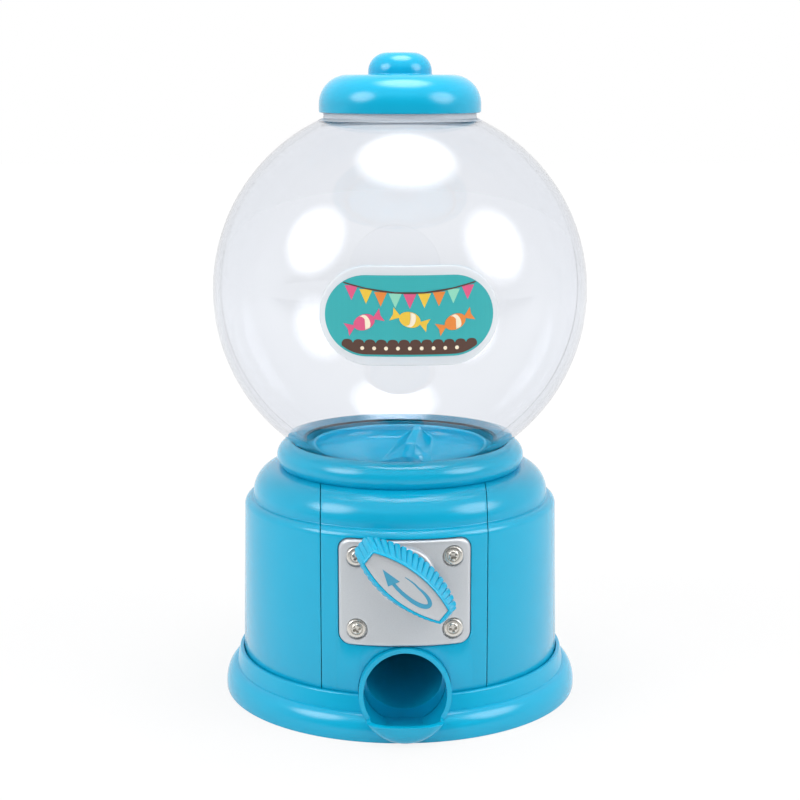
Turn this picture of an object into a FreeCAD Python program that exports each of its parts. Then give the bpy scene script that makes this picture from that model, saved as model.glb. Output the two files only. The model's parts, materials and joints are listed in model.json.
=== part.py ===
import FreeCAD, Part
import math
import os

# Small table-top sweet dispenser: a clear two-piece globe on a moulded plastic
# base, with a hand knob that turns a pocketed wheel under the globe.
# Millimetres, +Z up, the machine stands on z = 0 and its front faces -Y.

# Base: drum, shoulder and plinth
PLINTH_SPREAD = 5.05       # foot past the drum's lower edge
PLINTH_H = 12.8            # height of the foot moulding
PLINTH_WALL = 2.0
PLINTH_BAND_H = 4.4        # upright band above the rounded foot
PLINTH_LIP = 1.0           # lip that laps round the drum
DRUM_DRAFT = 0.019         # widening of the drum per millimetre downwards
DRUM_TOP_Z = 56.9
DRUM_EDGE_R = 2.5          # rounding of the drum's upper edge
SHOULDER_H = 8.8           # height of the domed shoulder over the drum
SHOULDER_ROUND = 8.0
WALL = 2.0                 # wall of the base mouldings
SEAT_T = 1.8               # inner flange of the plinth under the drum
PANEL_HALF_W = 21.9        # front panel, half width between its two seams
SEAM_GAP = 0.25

# Globe
GLOBE_R = 52.5
GLOBE_WALL = 1.6
FOOT_NECK_R = 28.8         # lower neck inside the collar
FOOT_NECK_H = 5.2          # lower neck, from the base to the ball
FOOT_FLANGE_W = 1.5        # how far the clamping flange stands out
FOOT_FLANGE_T = 1.5
MOUTH_R = 21.2             # outside of the filling neck
MOUTH_NECK_H = 4.97        # filling neck above the ball
PAD_W = 45.7               # raised pad that carries the label
PAD_H = 25.4
PAD_PROUD = 0.5
LABEL_W = 42.8
LABEL_H = 20.6
LABEL_T = 0.2
BACK_PAD_R = 14.5          # plain round pad on the rear half
BACK_PAD_PROUD = 0.4

# Collar
COLLAR_LAND = 3.7          # collar outside the globe's flange
COLLAR_BULGE = 1.2
COLLAR_H = 6.9

# Hopper
HOPPER_INSET = 1.5         # bowl inside the globe's lower neck
HOPPER_RIM_RISE = 4.95     # rim above the top of the base
HOPPER_WALL = 1.4
HOPPER_FLANGE_INSET = 0.4  # flange inside the collar's foot
HOPPER_FLANGE_T = 1.6
HOPPER_BEND = 4.0          # rounding between bowl side and funnel
FUNNEL_DROP = 9.65         # rim down to the throat edge
THROAT_R = 7.0
RIDGE_TURN = 15.0          # degrees the ridge stands off the back, to the right
RIDGE_R_OUT = 1.8
RIDGE_R_IN = 4.2
LEDGE_INSET = 0.3          # ledge inside the globe's lower neck
LEDGE_T = 2.0

# Turning group
AXIS_Z = 45.1
WHEEL_R = 12.2
WHEEL_LEN = 17.0
POCKET_R = 6.6
POCKET_FLOOR = 4.4         # distance of a pocket's floor from the axis
JOURNAL_R = 3.5
SPINDLE_R = 4.0
KEY_R = 3.0                # flatted end of the spindle
KEY_FLAT = 2.2
KEY_END_GAP = 2.0          # solid end of the wheel behind the spindle
BEARING_GAP = 0.05
KNOB_L_BACK = 29.5
KNOB_W_BACK = 14.0
KNOB_END_BACK = 5.0
KNOB_L_FRONT = 25.6
KNOB_W_FRONT = 9.8
KNOB_END_FRONT = 4.4
KNOB_DEPTH = 8.2
KNOB_WALL = 1.6
KNOB_RIM = 0.6             # rim left round the face insert
KNOB_FACE_T = 0.8
KNOB_REST = 39.0           # degrees, resting turn of the knob
KNOB_GAP = 0.4             # knob to boss

# Face plate
PLATE_W = 35.0
PLATE_H = 28.8
PLATE_MID_Z = 39.7
PLATE_CORNER = 3.0
PLATE_T = 1.6
PLATE_SUNK = 0.6
PLATE_GAP = 0.15
BOSS_R = 7.9
BOSS_PROUD = 2.9
PLATE_SCREW_X = 12.8
PLATE_SCREW_RISE = 9.9     # screw rows above and below the middle of the plate
SUNK_HEAD = 1.0            # depth of the plate's screw recesses

# Wheel housing and chute
RUN_GAP = 0.3              # wheel to housing
HOUSING_WALL = 1.5
EAR_T = 2.0
EAR_RISE = 4.1             # middle of the side ears above the axis
EAR_SCREW_X = 17.6
EAR_SCREW_Y = 6.4
DUCT_FLANGE_X = 14.0
DUCT_FLANGE_T = 1.6
CHUTE_HALF_W = 9.0
CHUTE_WALL = 1.5
CHUTE_FALL = 0.42          # fall of the chute floor per millimetre forward
CHUTE_SCREW_LEN = 4.4

# Outlet
SPOUT_R = 12.4
SPOUT_WALL = 1.25
SPOUT_FOOT = 0.2           # spout above the table
SPOUT_OVERHANG = 3.4       # front of the cup, past the foot
SPOUT_PLAN_R = 15.1        # plan rounding of the cup
SPOUT_FOOT_ROUND = 3.5
SPOUT_BROW_OUT = 1.25      # top of the mouth, past the drum's lower edge
LIP_Z = 6.2
LIP_OUT = 3.15             # start of the lip, past the drum's lower edge
SPOUT_FLANGE_X = 15.2
SPOUT_FLANGE_T = 1.5
SPOUT_FLANGE_IN = 7.05     # back of the flange, inside the drum's lower edge
SPOUT_GAP = 0.25
SPOUT_SCREW_X = 13.0
SPOUT_SCREW_RISE = 11.6
SPOUT_SCREW_LEN = 4.4

# Bottom cover
COVER_T = 2.6
COVER_GAP = 0.2
COVER_RING_T = 1.4
COVER_HEAD_SINK = 0.2      # screw heads above the underside
BOTTOM_BOSS_IN = 7.35      # bosses inside the drum's lower edge
BOTTOM_BOSS_R = 3.2
BOTTOM_BOSS_H = 24.0
BOTTOM_WEB_H = 14.0        # web that ties a boss to the drum's wall
BOTTOM_WEB_T = 2.0
BOTTOM_GRIP = 7.0          # screw above the cover
BOTTOM_PILOT = 9.0         # boss hole above the cover

# Lid
LID_R = 22.45
LID_BOTTOM_DROP = 3.6      # skirt below the seat on the filling neck
LID_H = 10.3               # skirt edge to the flat top
LID_ROUND = 8.0
LID_TOP_T = 1.6
LID_GAP = 0.25
FINIAL_R = 8.8
FINIAL_H = 6.0
FINIAL_ROUND = 4.4

# Screws: shank radius, head radius, head height, length under the head
M3 = (1.25, 2.65, 1.5, 6.5)
M25 = (1.05, 2.2, 1.3, 5.5)
M2 = (0.9, 1.7, 1.1, 5.6)
HOLE_EASE = 0.2            # clearance hole over the shank, on the radius

# Heights and radii that follow from the sizes above
BASE_TOP = DRUM_TOP_Z + SHOULDER_H
FOOT_FLANGE_R = FOOT_NECK_R + FOOT_FLANGE_W
COLLAR_FOOT_R = FOOT_FLANGE_R + COLLAR_LAND
COLLAR_R = COLLAR_FOOT_R + COLLAR_BULGE
HOPPER_R = FOOT_NECK_R - GLOBE_WALL - HOPPER_INSET
HOPPER_FLANGE_R = COLLAR_FOOT_R - HOPPER_FLANGE_INSET
LEDGE_R_IN = FOOT_NECK_R - LEDGE_INSET
DRUM_R = COLLAR_FOOT_R + SHOULDER_ROUND + DRUM_EDGE_R    # at the top of the straight side
SHOULDER_R = DRUM_R - DRUM_EDGE_R
SHOULDER_ARC_R = SHOULDER_R - SHOULDER_ROUND
DRUM_SIDE_Z = DRUM_TOP_Z - DRUM_EDGE_R
BAND_FOOT_Z = PLINTH_H - PLINTH_BAND_H
SEAT_Z = BAND_FOOT_Z + 1.2
DRUM_FOOT_R = DRUM_R + (DRUM_SIDE_Z - SEAT_Z) * DRUM_DRAFT
PLINTH_R = DRUM_FOOT_R + PLINTH_SPREAD
BOTTOM_BOSS_AT = DRUM_FOOT_R - BOTTOM_BOSS_IN
FOOT_TOP_Z = BASE_TOP + FOOT_NECK_H
GLOBE_Z = FOOT_TOP_Z + math.sqrt(GLOBE_R ** 2 - FOOT_NECK_R ** 2)
GLOBE_IN_R = GLOBE_R - GLOBE_WALL
MOUTH_TOP_Z = GLOBE_Z + math.sqrt(GLOBE_R ** 2 - MOUTH_R ** 2) + MOUTH_NECK_H
COLLAR_SCREW_R = FOOT_FLANGE_R + 0.15 + 0.45 + M2[0]
RIM_Z = BASE_TOP + HOPPER_RIM_RISE
THROAT_Z = RIM_Z - FUNNEL_DROP
BOWL_R = HOPPER_R - HOPPER_WALL
SLEEVE_R = THROAT_R + HOPPER_WALL
HOPPER_FLANGE_Z = BASE_TOP - HOPPER_FLANGE_T
SPOUT_Z = SPOUT_FOOT + SPOUT_R
SPOUT_REACH = PLINTH_R + SPOUT_OVERHANG
SPOUT_BROW = DRUM_FOOT_R + SPOUT_BROW_OUT
LIP_BACK = DRUM_FOOT_R + LIP_OUT
SPOUT_FLANGE_BACK = DRUM_FOOT_R - SPOUT_FLANGE_IN
SPOUT_IN_R = SPOUT_R - SPOUT_WALL
SPOUT_INNER_FLOOR = COVER_T + 0.1 + SPOUT_WALL
HOUSING_R = WHEEL_R + RUN_GAP + HOUSING_WALL
DUCT_Z = AXIS_Z - HOUSING_R - 0.6
HALF_WHEEL = WHEEL_LEN / 2
CHUTE_END_Y = HALF_WHEEL + 1.0
PLATE_PROUD = PLATE_T - PLATE_SUNK
PLATE_LOW_Z = PLATE_MID_Z - PLATE_H / 2
PLATE_TOP_Z = PLATE_MID_Z + PLATE_H / 2
LID_SEAT_Z = MOUTH_TOP_Z
LID_LOW_Z = LID_SEAT_Z - LID_BOTTOM_DROP
LID_TOP_Z = LID_LOW_Z + LID_H
FRONT_CUT_Y = -0.45 * DRUM_R    # cuts through the front start here
FAR = 4 * GLOBE_R


def at(r, z):
    """Point of a turned outline, radius and height."""
    return FreeCAD.Vector(r, 0, z)


def vec(x, y, z):
    return FreeCAD.Vector(x, y, z)


def righted(shape):
    """Solid with its faces looking outwards."""
    if shape.Volume < 0:
        shape.reverse()
    return shape


def turned(start, *moves):
    """Solid turned about Z from an outline of straight and arc moves.

    A move of two numbers goes straight to (radius, height). A move of four
    numbers is an arc through the first pair to the second pair.
    """
    here = start
    edges = []
    for move in moves + (start,):
        end = tuple(move[-2:])
        if math.hypot(end[0] - here[0], end[1] - here[1]) < 1e-6:
            continue
        if len(move) == 4:
            curve = Part.Arc(at(*here), at(*move[:2]), at(*end))
        else:
            curve = Part.LineSegment(at(*here), at(*end))
        edges.append(curve.toShape())
        here = end
    face = Part.Face(Part.Wire(edges))
    return righted(face.revolve(vec(0, 0, 0), vec(0, 0, 1), 360))


def bend(cr, cz, radius, middle, end):
    """Arc move round a centre, given its middle and end angles in degrees."""
    m = math.radians(middle)
    e = math.radians(end)
    start = (cr + radius * math.cos(m), cz + radius * math.sin(m))
    return start + (cr + radius * math.cos(e), cz + radius * math.sin(e))


def box(x0, x1, y0, y1, z0, z1):
    return Part.makeBox(x1 - x0, y1 - y0, z1 - z0, vec(x0, y0, z0))


def rod_y(radius, y0, y1, x, z):
    """Round bar along Y."""
    return Part.makeCylinder(radius, y1 - y0, vec(x, y0, z), vec(0, 1, 0))


def rod_z(radius, z0, z1, x=0.0, y=0.0):
    """Round bar along Z."""
    return Part.makeCylinder(radius, z1 - z0, vec(x, y, z0))


def ring(r_in, r_out, z0, z1):
    return rod_z(r_out, z0, z1).cut(rod_z(r_in, z0 - 1, z1 + 1))


def joined(first, *others):
    shape = first.multiFuse(list(others))
    return shape.removeSplitter()


def drum_r(z):
    """Outer radius of the drum's drafted side."""
    return DRUM_R + (DRUM_SIDE_Z - z) * DRUM_DRAFT


def drum_band(z0, z1, low, high):
    """Ring that follows the drum's side between two offsets from it."""
    return turned(
        (drum_r(z0) + low, z0),
        (drum_r(z0) + high, z0),
        (drum_r(z1) + high, z1),
        (drum_r(z1) + low, z1),
    )


def rounded_prism(width, height, corner, mid_z, y0, y1):
    """Rounded rectangle in X and Z, drawn out along Y."""
    block = box(-width / 2, width / 2, y0, y1, mid_z - height / 2, mid_z + height / 2)
    along = [e for e in block.Edges if abs(e.tangentAt(e.FirstParameter).y) > 0.99]
    return block.makeFillet(corner, along)


def stadium(width, height, mid_z, y0, y1):
    """Bar with round ends in X and Z, drawn out along Y."""
    half = (width - height) / 2
    middle = box(-half, half, y0, y1, mid_z - height / 2, mid_z + height / 2)
    left = rod_y(height / 2, y0, y1, -half, mid_z)
    right = rod_y(height / 2, y0, y1, half, mid_z)
    return joined(middle, left, right)


def screw(size, seat, heading):
    """Pan-head screw with its head's underside at the seat."""
    shank_r, head_r, head_h, length = size
    aim = vec(*heading)
    foot = vec(*seat)
    shank = Part.makeCylinder(shank_r, length, foot, aim)
    head = Part.makeCylinder(head_r, head_h, foot, aim.negative())
    tops = [e for e in head.Edges if abs(e.BoundBox.Center.sub(foot).dot(aim) + head_h) < 1e-6]
    rims = [e for e in tops if e.Length > 2 * head_r]
    head = head.makeFillet(head_h * 0.45, rims)
    return joined(head, shank)


def hole(radius, seat, heading, length, back=0.0):
    """Cutter for a screw hole that starts a little behind its seat."""
    aim = vec(*heading)
    foot = vec(*seat).sub(vec(*heading).multiply(back))
    return Part.makeCylinder(radius, length + back, foot, aim)


# Places of the screws
plate_screws = []
for px in (-PLATE_SCREW_X, PLATE_SCREW_X):
    for pz in (PLATE_MID_Z - PLATE_SCREW_RISE, PLATE_MID_Z + PLATE_SCREW_RISE):
        face_y = -math.sqrt((drum_r(pz) + PLATE_PROUD) ** 2 - px ** 2)
        plate_screws.append((px, face_y + SUNK_HEAD, pz))

collar_screws = []
for turn in (-158, -114, -66, -22, 45, 135):
    ang = math.radians(turn)
    collar_screws.append(
        (COLLAR_SCREW_R * math.cos(ang), COLLAR_SCREW_R * math.sin(ang), HOPPER_FLANGE_Z - LEDGE_T)
    )

ear_low_z = AXIS_Z + EAR_RISE - EAR_T / 2
ear_screws = []
for ex in (-EAR_SCREW_X, EAR_SCREW_X):
    for ey in (-EAR_SCREW_Y, EAR_SCREW_Y):
        ear_screws.append((ex, ey, ear_low_z))

duct_screws = []
for dx in (-1, 1):
    for dy in (-1, 1):
        duct_x = dx * (CHUTE_HALF_W + CHUTE_WALL + DUCT_FLANGE_X) / 2 + dx * 0.2
        duct_screws.append((duct_x, dy * (HALF_WHEEL - 1.5), DUCT_Z - DUCT_FLANGE_T))

spout_seat_y = -SPOUT_FLANGE_BACK
spout_screws = [(sx, spout_seat_y, SPOUT_Z + SPOUT_SCREW_RISE) for sx in (-SPOUT_SCREW_X, SPOUT_SCREW_X)]

bottom_seat_z = M3[2] + COVER_HEAD_SINK
bottom_size = M3[:3] + (COVER_T + BOTTOM_GRIP,)
bottom_screws = []
for turn in (45, 135, -20, 200):
    ang = math.radians(turn)
    bottom_screws.append((BOTTOM_BOSS_AT * math.cos(ang), BOTTOM_BOSS_AT * math.sin(ang)))

# Shell of the base: drum, domed shoulder and an inner ledge, before it is split
in_r = DRUM_R - WALL
outer = turned(
    (0, SEAT_Z),
    (DRUM_FOOT_R, SEAT_Z),
    (DRUM_R, DRUM_SIDE_Z),
    bend(DRUM_R - DRUM_EDGE_R, DRUM_SIDE_Z, DRUM_EDGE_R, 45, 90),
    (SHOULDER_R, BASE_TOP - SHOULDER_ROUND),
    bend(SHOULDER_ARC_R, BASE_TOP - SHOULDER_ROUND, SHOULDER_ROUND, 45, 90),
    (0, BASE_TOP),
)
inner_round = SHOULDER_ROUND - WALL
inner = turned(
    (0, SEAT_Z - 1),
    (drum_r(SEAT_Z - 1) - WALL, SEAT_Z - 1),
    (in_r, DRUM_SIDE_Z),
    (SHOULDER_R - WALL, DRUM_SIDE_Z),
    (SHOULDER_R - WALL, BASE_TOP - SHOULDER_ROUND),
    bend(SHOULDER_ARC_R, BASE_TOP - SHOULDER_ROUND, inner_round, 45, 90),
    (0, BASE_TOP - WALL),
)
ledge_z = HOPPER_FLANGE_Z - LEDGE_T
shell = outer.cut(inner)
shell = shell.cut(rod_z(HOPPER_FLANGE_R + SPOUT_GAP, BASE_TOP - WALL - 1, BASE_TOP + 1))
shell = joined(shell, ring(LEDGE_R_IN, SHOULDER_ARC_R + 2.5, ledge_z, HOPPER_FLANGE_Z))
for sx, sy, sz in collar_screws:
    shell = shell.cut(hole(M2[0] + HOLE_EASE, (sx, sy, sz), (0, 0, 1), LEDGE_T + 2, 2))

# Rear housing: the shell without the front panel, with backing strips and bosses
strip_w = 3.2
panel_cut = box(-PANEL_HALF_W, PANEL_HALF_W, -FAR, 0, -1, FAR)
rear_housing = shell.cut(panel_cut)
strips = turned(
    (DRUM_FOOT_R - WALL - 1.6, SEAT_Z),
    (DRUM_FOOT_R - WALL, SEAT_Z),
    (in_r, DRUM_SIDE_Z),
    (in_r - 1.6, DRUM_SIDE_Z),
)
for side in (-1, 1):
    x0 = side * PANEL_HALF_W - strip_w
    keep = box(x0, x0 + 2 * strip_w, -FAR, 0, -1, FAR)
    rear_housing = joined(rear_housing, strips.common(keep))
for bx, by in bottom_screws:
    post = rod_z(BOTTOM_BOSS_R, COVER_T, COVER_T + BOTTOM_BOSS_H, bx, by)
    web_l = DRUM_FOOT_R - WALL / 2 - BOTTOM_BOSS_AT
    web = Part.makeBox(web_l, BOTTOM_WEB_T, BOTTOM_WEB_H, vec(0, -BOTTOM_WEB_T / 2, 0))
    web.rotate(vec(0, 0, 0), vec(0, 0, 1), math.degrees(math.atan2(by, bx)))
    web.translate(vec(bx, by, SEAT_Z + 0.4))
    rear_housing = joined(rear_housing, post, web)
for bx, by in bottom_screws:
    rear_housing = rear_housing.cut(rod_z(M3[0], 0, COVER_T + BOTTOM_PILOT, bx, by))

# Front panel: the part of the shell between the two seams
half = PANEL_HALF_W - SEAM_GAP
front_panel = shell.common(box(-half, half, -FAR, -1, -1, FAR))
recess_w = PLATE_W + 2 * PLATE_GAP
recess_h = PLATE_H + 2 * PLATE_GAP
recess = rounded_prism(recess_w, recess_h, PLATE_CORNER + PLATE_GAP, PLATE_MID_Z, -FAR, FRONT_CUT_Y)
recess = recess.common(drum_band(PLATE_LOW_Z - 2, PLATE_TOP_Z + 2, -PLATE_SUNK, 8))
post_back_y = -(DRUM_R - 9.5)
for px, py, pz in plate_screws:
    post = rod_y(M3[1], -(DRUM_R - 1.0), post_back_y, px, pz).common(outer)
    front_panel = joined(front_panel, post)
for sx, sy, sz in spout_screws:
    post = rod_y(M25[1] + 0.3, -(DRUM_R - 1.0), sy - SPOUT_FLANGE_T, sx, sz).common(outer)
    front_panel = joined(front_panel, post)
front_panel = front_panel.cut(recess)
front_panel = front_panel.cut(rod_y(SPINDLE_R + 0.6, -FAR, FRONT_CUT_Y, 0, AXIS_Z))
front_panel = front_panel.cut(rod_y(SPOUT_R + SPOUT_GAP, -FAR, FRONT_CUT_Y, 0, SPOUT_Z))
for px, py, pz in plate_screws:
    front_panel = front_panel.cut(hole(M3[0], (px, py, pz), (0, 1, 0), M3[3] + 0.8, 3))
for sx, sy, sz in spout_screws:
    front_panel = front_panel.cut(hole(M25[0], (sx, sy, sz), (0, -1, 0), M25[3] - 1.0, 1))

# Plinth: lip round the drum, inner seat flange and a rounded foot
lip_r = DRUM_FOOT_R + PLATE_GAP
band_r = lip_r + PLINTH_LIP + 0.9
foot_h = BAND_FOOT_Z - 1.4
plinth = turned(
    (PLINTH_R - PLINTH_WALL, 0),
    (PLINTH_R, 0),
    (PLINTH_R, 1.4),
    (
        band_r + 0.74 * (PLINTH_R - band_r),
        1.4 + 0.70 * foot_h,
        band_r,
        BAND_FOOT_Z,
    ),
    (lip_r + PLINTH_LIP, PLINTH_H - 0.4),
    (lip_r + PLINTH_LIP - 0.4, PLINTH_H),
    (lip_r, PLINTH_H),
    (lip_r, SEAT_Z),
    (DRUM_FOOT_R - WALL - 1.6, SEAT_Z),
    (DRUM_FOOT_R - WALL - 1.6, SEAT_Z - SEAT_T),
    (lip_r, SEAT_Z - SEAT_T),
    (PLINTH_R - PLINTH_WALL, 3.4),
)
plinth = plinth.cut(rod_y(SPOUT_R + SPOUT_GAP, -FAR, FRONT_CUT_Y, 0, SPOUT_Z))
plinth = plinth.cut(box(-4.5, 4.5, -FAR, FRONT_CUT_Y, -1, 3))
flange_room_x = SPOUT_FLANGE_X + SPOUT_GAP
flange_room_y = -(SPOUT_FLANGE_BACK + SPOUT_FLANGE_T + SPOUT_GAP)
plinth = plinth.cut(box(-flange_room_x, flange_room_x, flange_room_y, FRONT_CUT_Y, 0, PLINTH_H))

# Bottom cover: flush with the foot, its ring holds the plinth up against the drum
cover_r = PLINTH_R - PLINTH_WALL - COVER_GAP
ring_out = DRUM_FOOT_R - WALL + 0.4
bottom_cover = joined(
    rod_z(cover_r, 0, COVER_T),
    ring(ring_out - COVER_RING_T, ring_out, COVER_T, SEAT_Z - SEAT_T),
)
bottom_cover = bottom_cover.cut(
    box(-SPOUT_FLANGE_X - 1, SPOUT_FLANGE_X + 1, -FAR, FRONT_CUT_Y, COVER_T, SPOUT_Z)
)
bottom_cover = bottom_cover.cut(
    rod_y(SPOUT_R + SPOUT_GAP, -FAR, -(DRUM_FOOT_R - 0.4), 0, SPOUT_Z)
)
bottom_cover = bottom_cover.cut(box(-4.5, 4.5, -FAR, -(DRUM_FOOT_R - 0.4), -1, 3))
for bx, by in bottom_screws:
    bottom_cover = bottom_cover.cut(rod_z(M3[1] + 0.4, -1, bottom_seat_z, bx, by))
    bottom_cover = bottom_cover.cut(rod_z(M3[0] + HOLE_EASE, -1, COVER_T + 1, bx, by))

# Collar: half-round ring that clamps the globe's flange and the hopper
collar_top_z = BASE_TOP + COLLAR_H
collar = turned(
    (FOOT_NECK_R - 1, BASE_TOP),
    (COLLAR_FOOT_R, BASE_TOP),
    (COLLAR_R, BASE_TOP + 0.39 * COLLAR_H, COLLAR_FOOT_R - 0.9, collar_top_z - 0.35),
    (COLLAR_FOOT_R - 1.4, collar_top_z),
    (FOOT_NECK_R - 1, collar_top_z),
)
collar = collar.cut(Part.makeSphere(GLOBE_R + RUN_GAP, vec(0, 0, GLOBE_Z)))
collar = collar.cut(rod_z(FOOT_NECK_R + RUN_GAP, BASE_TOP - 1, collar_top_z + 1))
collar = collar.cut(rod_z(FOOT_FLANGE_R + PLATE_GAP, BASE_TOP - 1, BASE_TOP + FOOT_FLANGE_T))
for sx, sy, sz in collar_screws:
    collar = collar.cut(hole(M2[0], (sx, sy, sz), (0, 0, 1), M2[3] + 0.6))

# Globe: blown shell with a clamped foot, a filling neck and two raised pads
neck_in_r = FOOT_NECK_R - GLOBE_WALL
mouth_in_r = MOUTH_R - GLOBE_WALL
ball = Part.makeSphere(GLOBE_R, vec(0, 0, GLOBE_Z))
pad = rod_z(GLOBE_R + PAD_PROUD, GLOBE_Z - PAD_H, GLOBE_Z + PAD_H)
pad = pad.common(stadium(PAD_W, PAD_H, GLOBE_Z, -FAR, FRONT_CUT_Y))
back_pad = Part.makeSphere(GLOBE_R + BACK_PAD_PROUD, vec(0, 0, GLOBE_Z))
back_pad = back_pad.common(rod_y(BACK_PAD_R, -FRONT_CUT_Y, FAR, 0, GLOBE_Z))
skin = joined(
    ball.cut(box(-FAR, FAR, -FAR, FAR, -FAR, BASE_TOP)),
    pad,
    back_pad,
    rod_z(FOOT_NECK_R, BASE_TOP, GLOBE_Z - GLOBE_R * 0.8),
    rod_z(FOOT_FLANGE_R, BASE_TOP, BASE_TOP + FOOT_FLANGE_T),
    rod_z(MOUTH_R, GLOBE_Z + GLOBE_R * 0.85, MOUTH_TOP_Z),
)
skin = skin.cut(ring(FOOT_NECK_R, GLOBE_R, BASE_TOP + FOOT_FLANGE_T, FOOT_TOP_Z))
hollow = joined(
    Part.makeSphere(GLOBE_IN_R, vec(0, 0, GLOBE_Z)).cut(
        box(-FAR, FAR, -FAR, FAR, -FAR, GLOBE_Z - math.sqrt(GLOBE_IN_R ** 2 - neck_in_r ** 2))
    ),
    rod_z(neck_in_r, BASE_TOP - 1, GLOBE_Z - GLOBE_R * 0.8),
    rod_z(mouth_in_r, GLOBE_Z + GLOBE_R * 0.85, MOUTH_TOP_Z + 1),
)
globe = skin.cut(hollow)
globe_front = globe.common(box(-FAR, FAR, -FAR, 0, 0, 2 * FAR))
globe_rear = globe.common(box(-FAR, FAR, 0, FAR, 0, 2 * FAR))
label = ring(GLOBE_R + PAD_PROUD, GLOBE_R + PAD_PROUD + LABEL_T, GLOBE_Z - PAD_H, GLOBE_Z + PAD_H)
label = label.common(stadium(LABEL_W, LABEL_H, GLOBE_Z, -FAR, FRONT_CUT_Y))

# Hopper: rimmed bowl with a ridge, a funnel floor and a throat over the wheel
slope_top = (BOWL_R - 1.7, RIM_Z - HOPPER_BEND)
bowl_out = turned(
    (0, THROAT_Z - HOPPER_WALL),
    (SLEEVE_R, THROAT_Z - HOPPER_WALL),
    (HOPPER_R - 1.0, slope_top[1] - HOPPER_WALL),
    (HOPPER_R, slope_top[1]),
    (HOPPER_R, RIM_Z - HOPPER_WALL / 2),
    bend(HOPPER_R - HOPPER_WALL / 2, RIM_Z - HOPPER_WALL / 2, HOPPER_WALL / 2, 45, 90),
    (0, RIM_Z),
)
bowl_in = turned(
    (0, THROAT_Z),
    (THROAT_R, THROAT_Z),
    slope_top,
    (BOWL_R - 0.45, slope_top[1] + 1.2, BOWL_R, slope_top[1] + 2.6),
    (BOWL_R, RIM_Z - HOPPER_WALL / 2),
    bend(HOPPER_R - HOPPER_WALL / 2, RIM_Z - HOPPER_WALL / 2, HOPPER_WALL / 2, 135, 90),
    (HOPPER_R - HOPPER_WALL / 2, RIM_Z + 1),
    (0, RIM_Z + 1),
)
ridge_start = vec(0, BOWL_R + 0.4, RIM_Z - 3.2)
ridge_stop = vec(0, THROAT_R + 2.0, THROAT_Z - 2.8)
ridge_run = ridge_stop.sub(ridge_start)
ridge = Part.makeCone(RIDGE_R_OUT, RIDGE_R_IN, ridge_run.Length, ridge_start, ridge_run)
ridge.rotate(vec(0, 0, 0), vec(0, 0, 1), -RIDGE_TURN)
flange = ring(THROAT_R, HOPPER_FLANGE_R, HOPPER_FLANGE_Z, BASE_TOP)
sleeve = rod_z(SLEEVE_R, AXIS_Z + WHEEL_R * 0.6, THROAT_Z)
hopper = joined(bowl_out, flange, sleeve).cut(bowl_in)
hopper = joined(hopper, ridge.common(bowl_out))
for ex, ey, ez in ear_screws:
    post = rod_z(M25[1] + 0.4, ez + EAR_T, RIM_Z - HOPPER_BEND, ex, ey)
    hopper = joined(hopper, post.cut(bowl_in))
hopper = hopper.cut(rod_z(THROAT_R, 0, THROAT_Z + 1))
hopper = hopper.cut(rod_y(WHEEL_R + RUN_GAP, -FAR, FAR, 0, AXIS_Z))
for ex, ey, ez in ear_screws:
    hopper = hopper.cut(hole(M25[0], (ex, ey, ez), (0, 0, 1), M25[3] + 0.6))
for sx, sy, sz in collar_screws:
    hopper = hopper.cut(hole(M2[0] + HOLE_EASE, (sx, sy, sz), (0, 0, 1), LEDGE_T + 2 * HOPPER_FLANGE_T))

# Wheel housing: open-fronted barrel round the wheel, hung under the hopper
front_y = -HALF_WHEEL - 1.0
wall_y = HALF_WHEEL + 0.5
back_y = wall_y + 2.0
barrel = rod_y(HOUSING_R, front_y, back_y, 0, AXIS_Z)
ears = box(
    -EAR_SCREW_X - 3.4,
    EAR_SCREW_X + 3.4,
    -EAR_SCREW_Y - 3.2,
    EAR_SCREW_Y + 3.2,
    ear_low_z,
    ear_low_z + EAR_T,
)
duct_plate = box(-DUCT_FLANGE_X, DUCT_FLANGE_X, front_y, back_y, DUCT_Z, DUCT_Z + DUCT_FLANGE_T)
cheeks = box(-HOUSING_R + 1.6, HOUSING_R - 1.6, front_y, back_y, DUCT_Z, AXIS_Z - 6)
wheel_housing = joined(barrel, ears, duct_plate, cheeks)
wheel_housing = wheel_housing.cut(rod_y(WHEEL_R + RUN_GAP, front_y - 1, wall_y, 0, AXIS_Z))
wheel_housing = wheel_housing.cut(rod_y(JOURNAL_R + BEARING_GAP, 0, back_y + 1, 0, AXIS_Z))
wheel_housing = wheel_housing.cut(rod_z(SLEEVE_R + RUN_GAP, AXIS_Z, FAR))
wheel_housing = wheel_housing.cut(box(-CHUTE_HALF_W + 1, CHUTE_HALF_W - 1, -7, 7, 0, AXIS_Z))
for ex, ey, ez in ear_screws:
    wheel_housing = wheel_housing.cut(hole(M25[0] + HOLE_EASE, (ex, ey, ez), (0, 0, 1), EAR_T + 1, 1))
for dx, dy, dz in duct_screws:
    wheel_housing = wheel_housing.cut(hole(M2[0], (dx, dy, dz), (0, 0, 1), M2[3] + 1))

# Chute: sloping trough from under the wheel to the outlet
chute_front_y = -SPOUT_FLANGE_BACK
floor_front_z = SPOUT_INNER_FLOOR + 0.3


def trough(half_width, lift, y0, y1, roof):
    """Wedge over the sloping floor line, raised by a lift."""
    z0 = floor_front_z + (y0 - chute_front_y) * CHUTE_FALL + lift
    z1 = floor_front_z + (y1 - chute_front_y) * CHUTE_FALL + lift
    corners = [vec(-half_width, y0, z0), vec(-half_width, y1, z1)]
    corners.append(vec(-half_width, y1, roof))
    corners.append(vec(-half_width, y0, roof))
    face = Part.Face(Part.makePolygon(corners + corners[:1]))
    return righted(face.extrude(vec(2 * half_width, 0, 0)))


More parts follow.
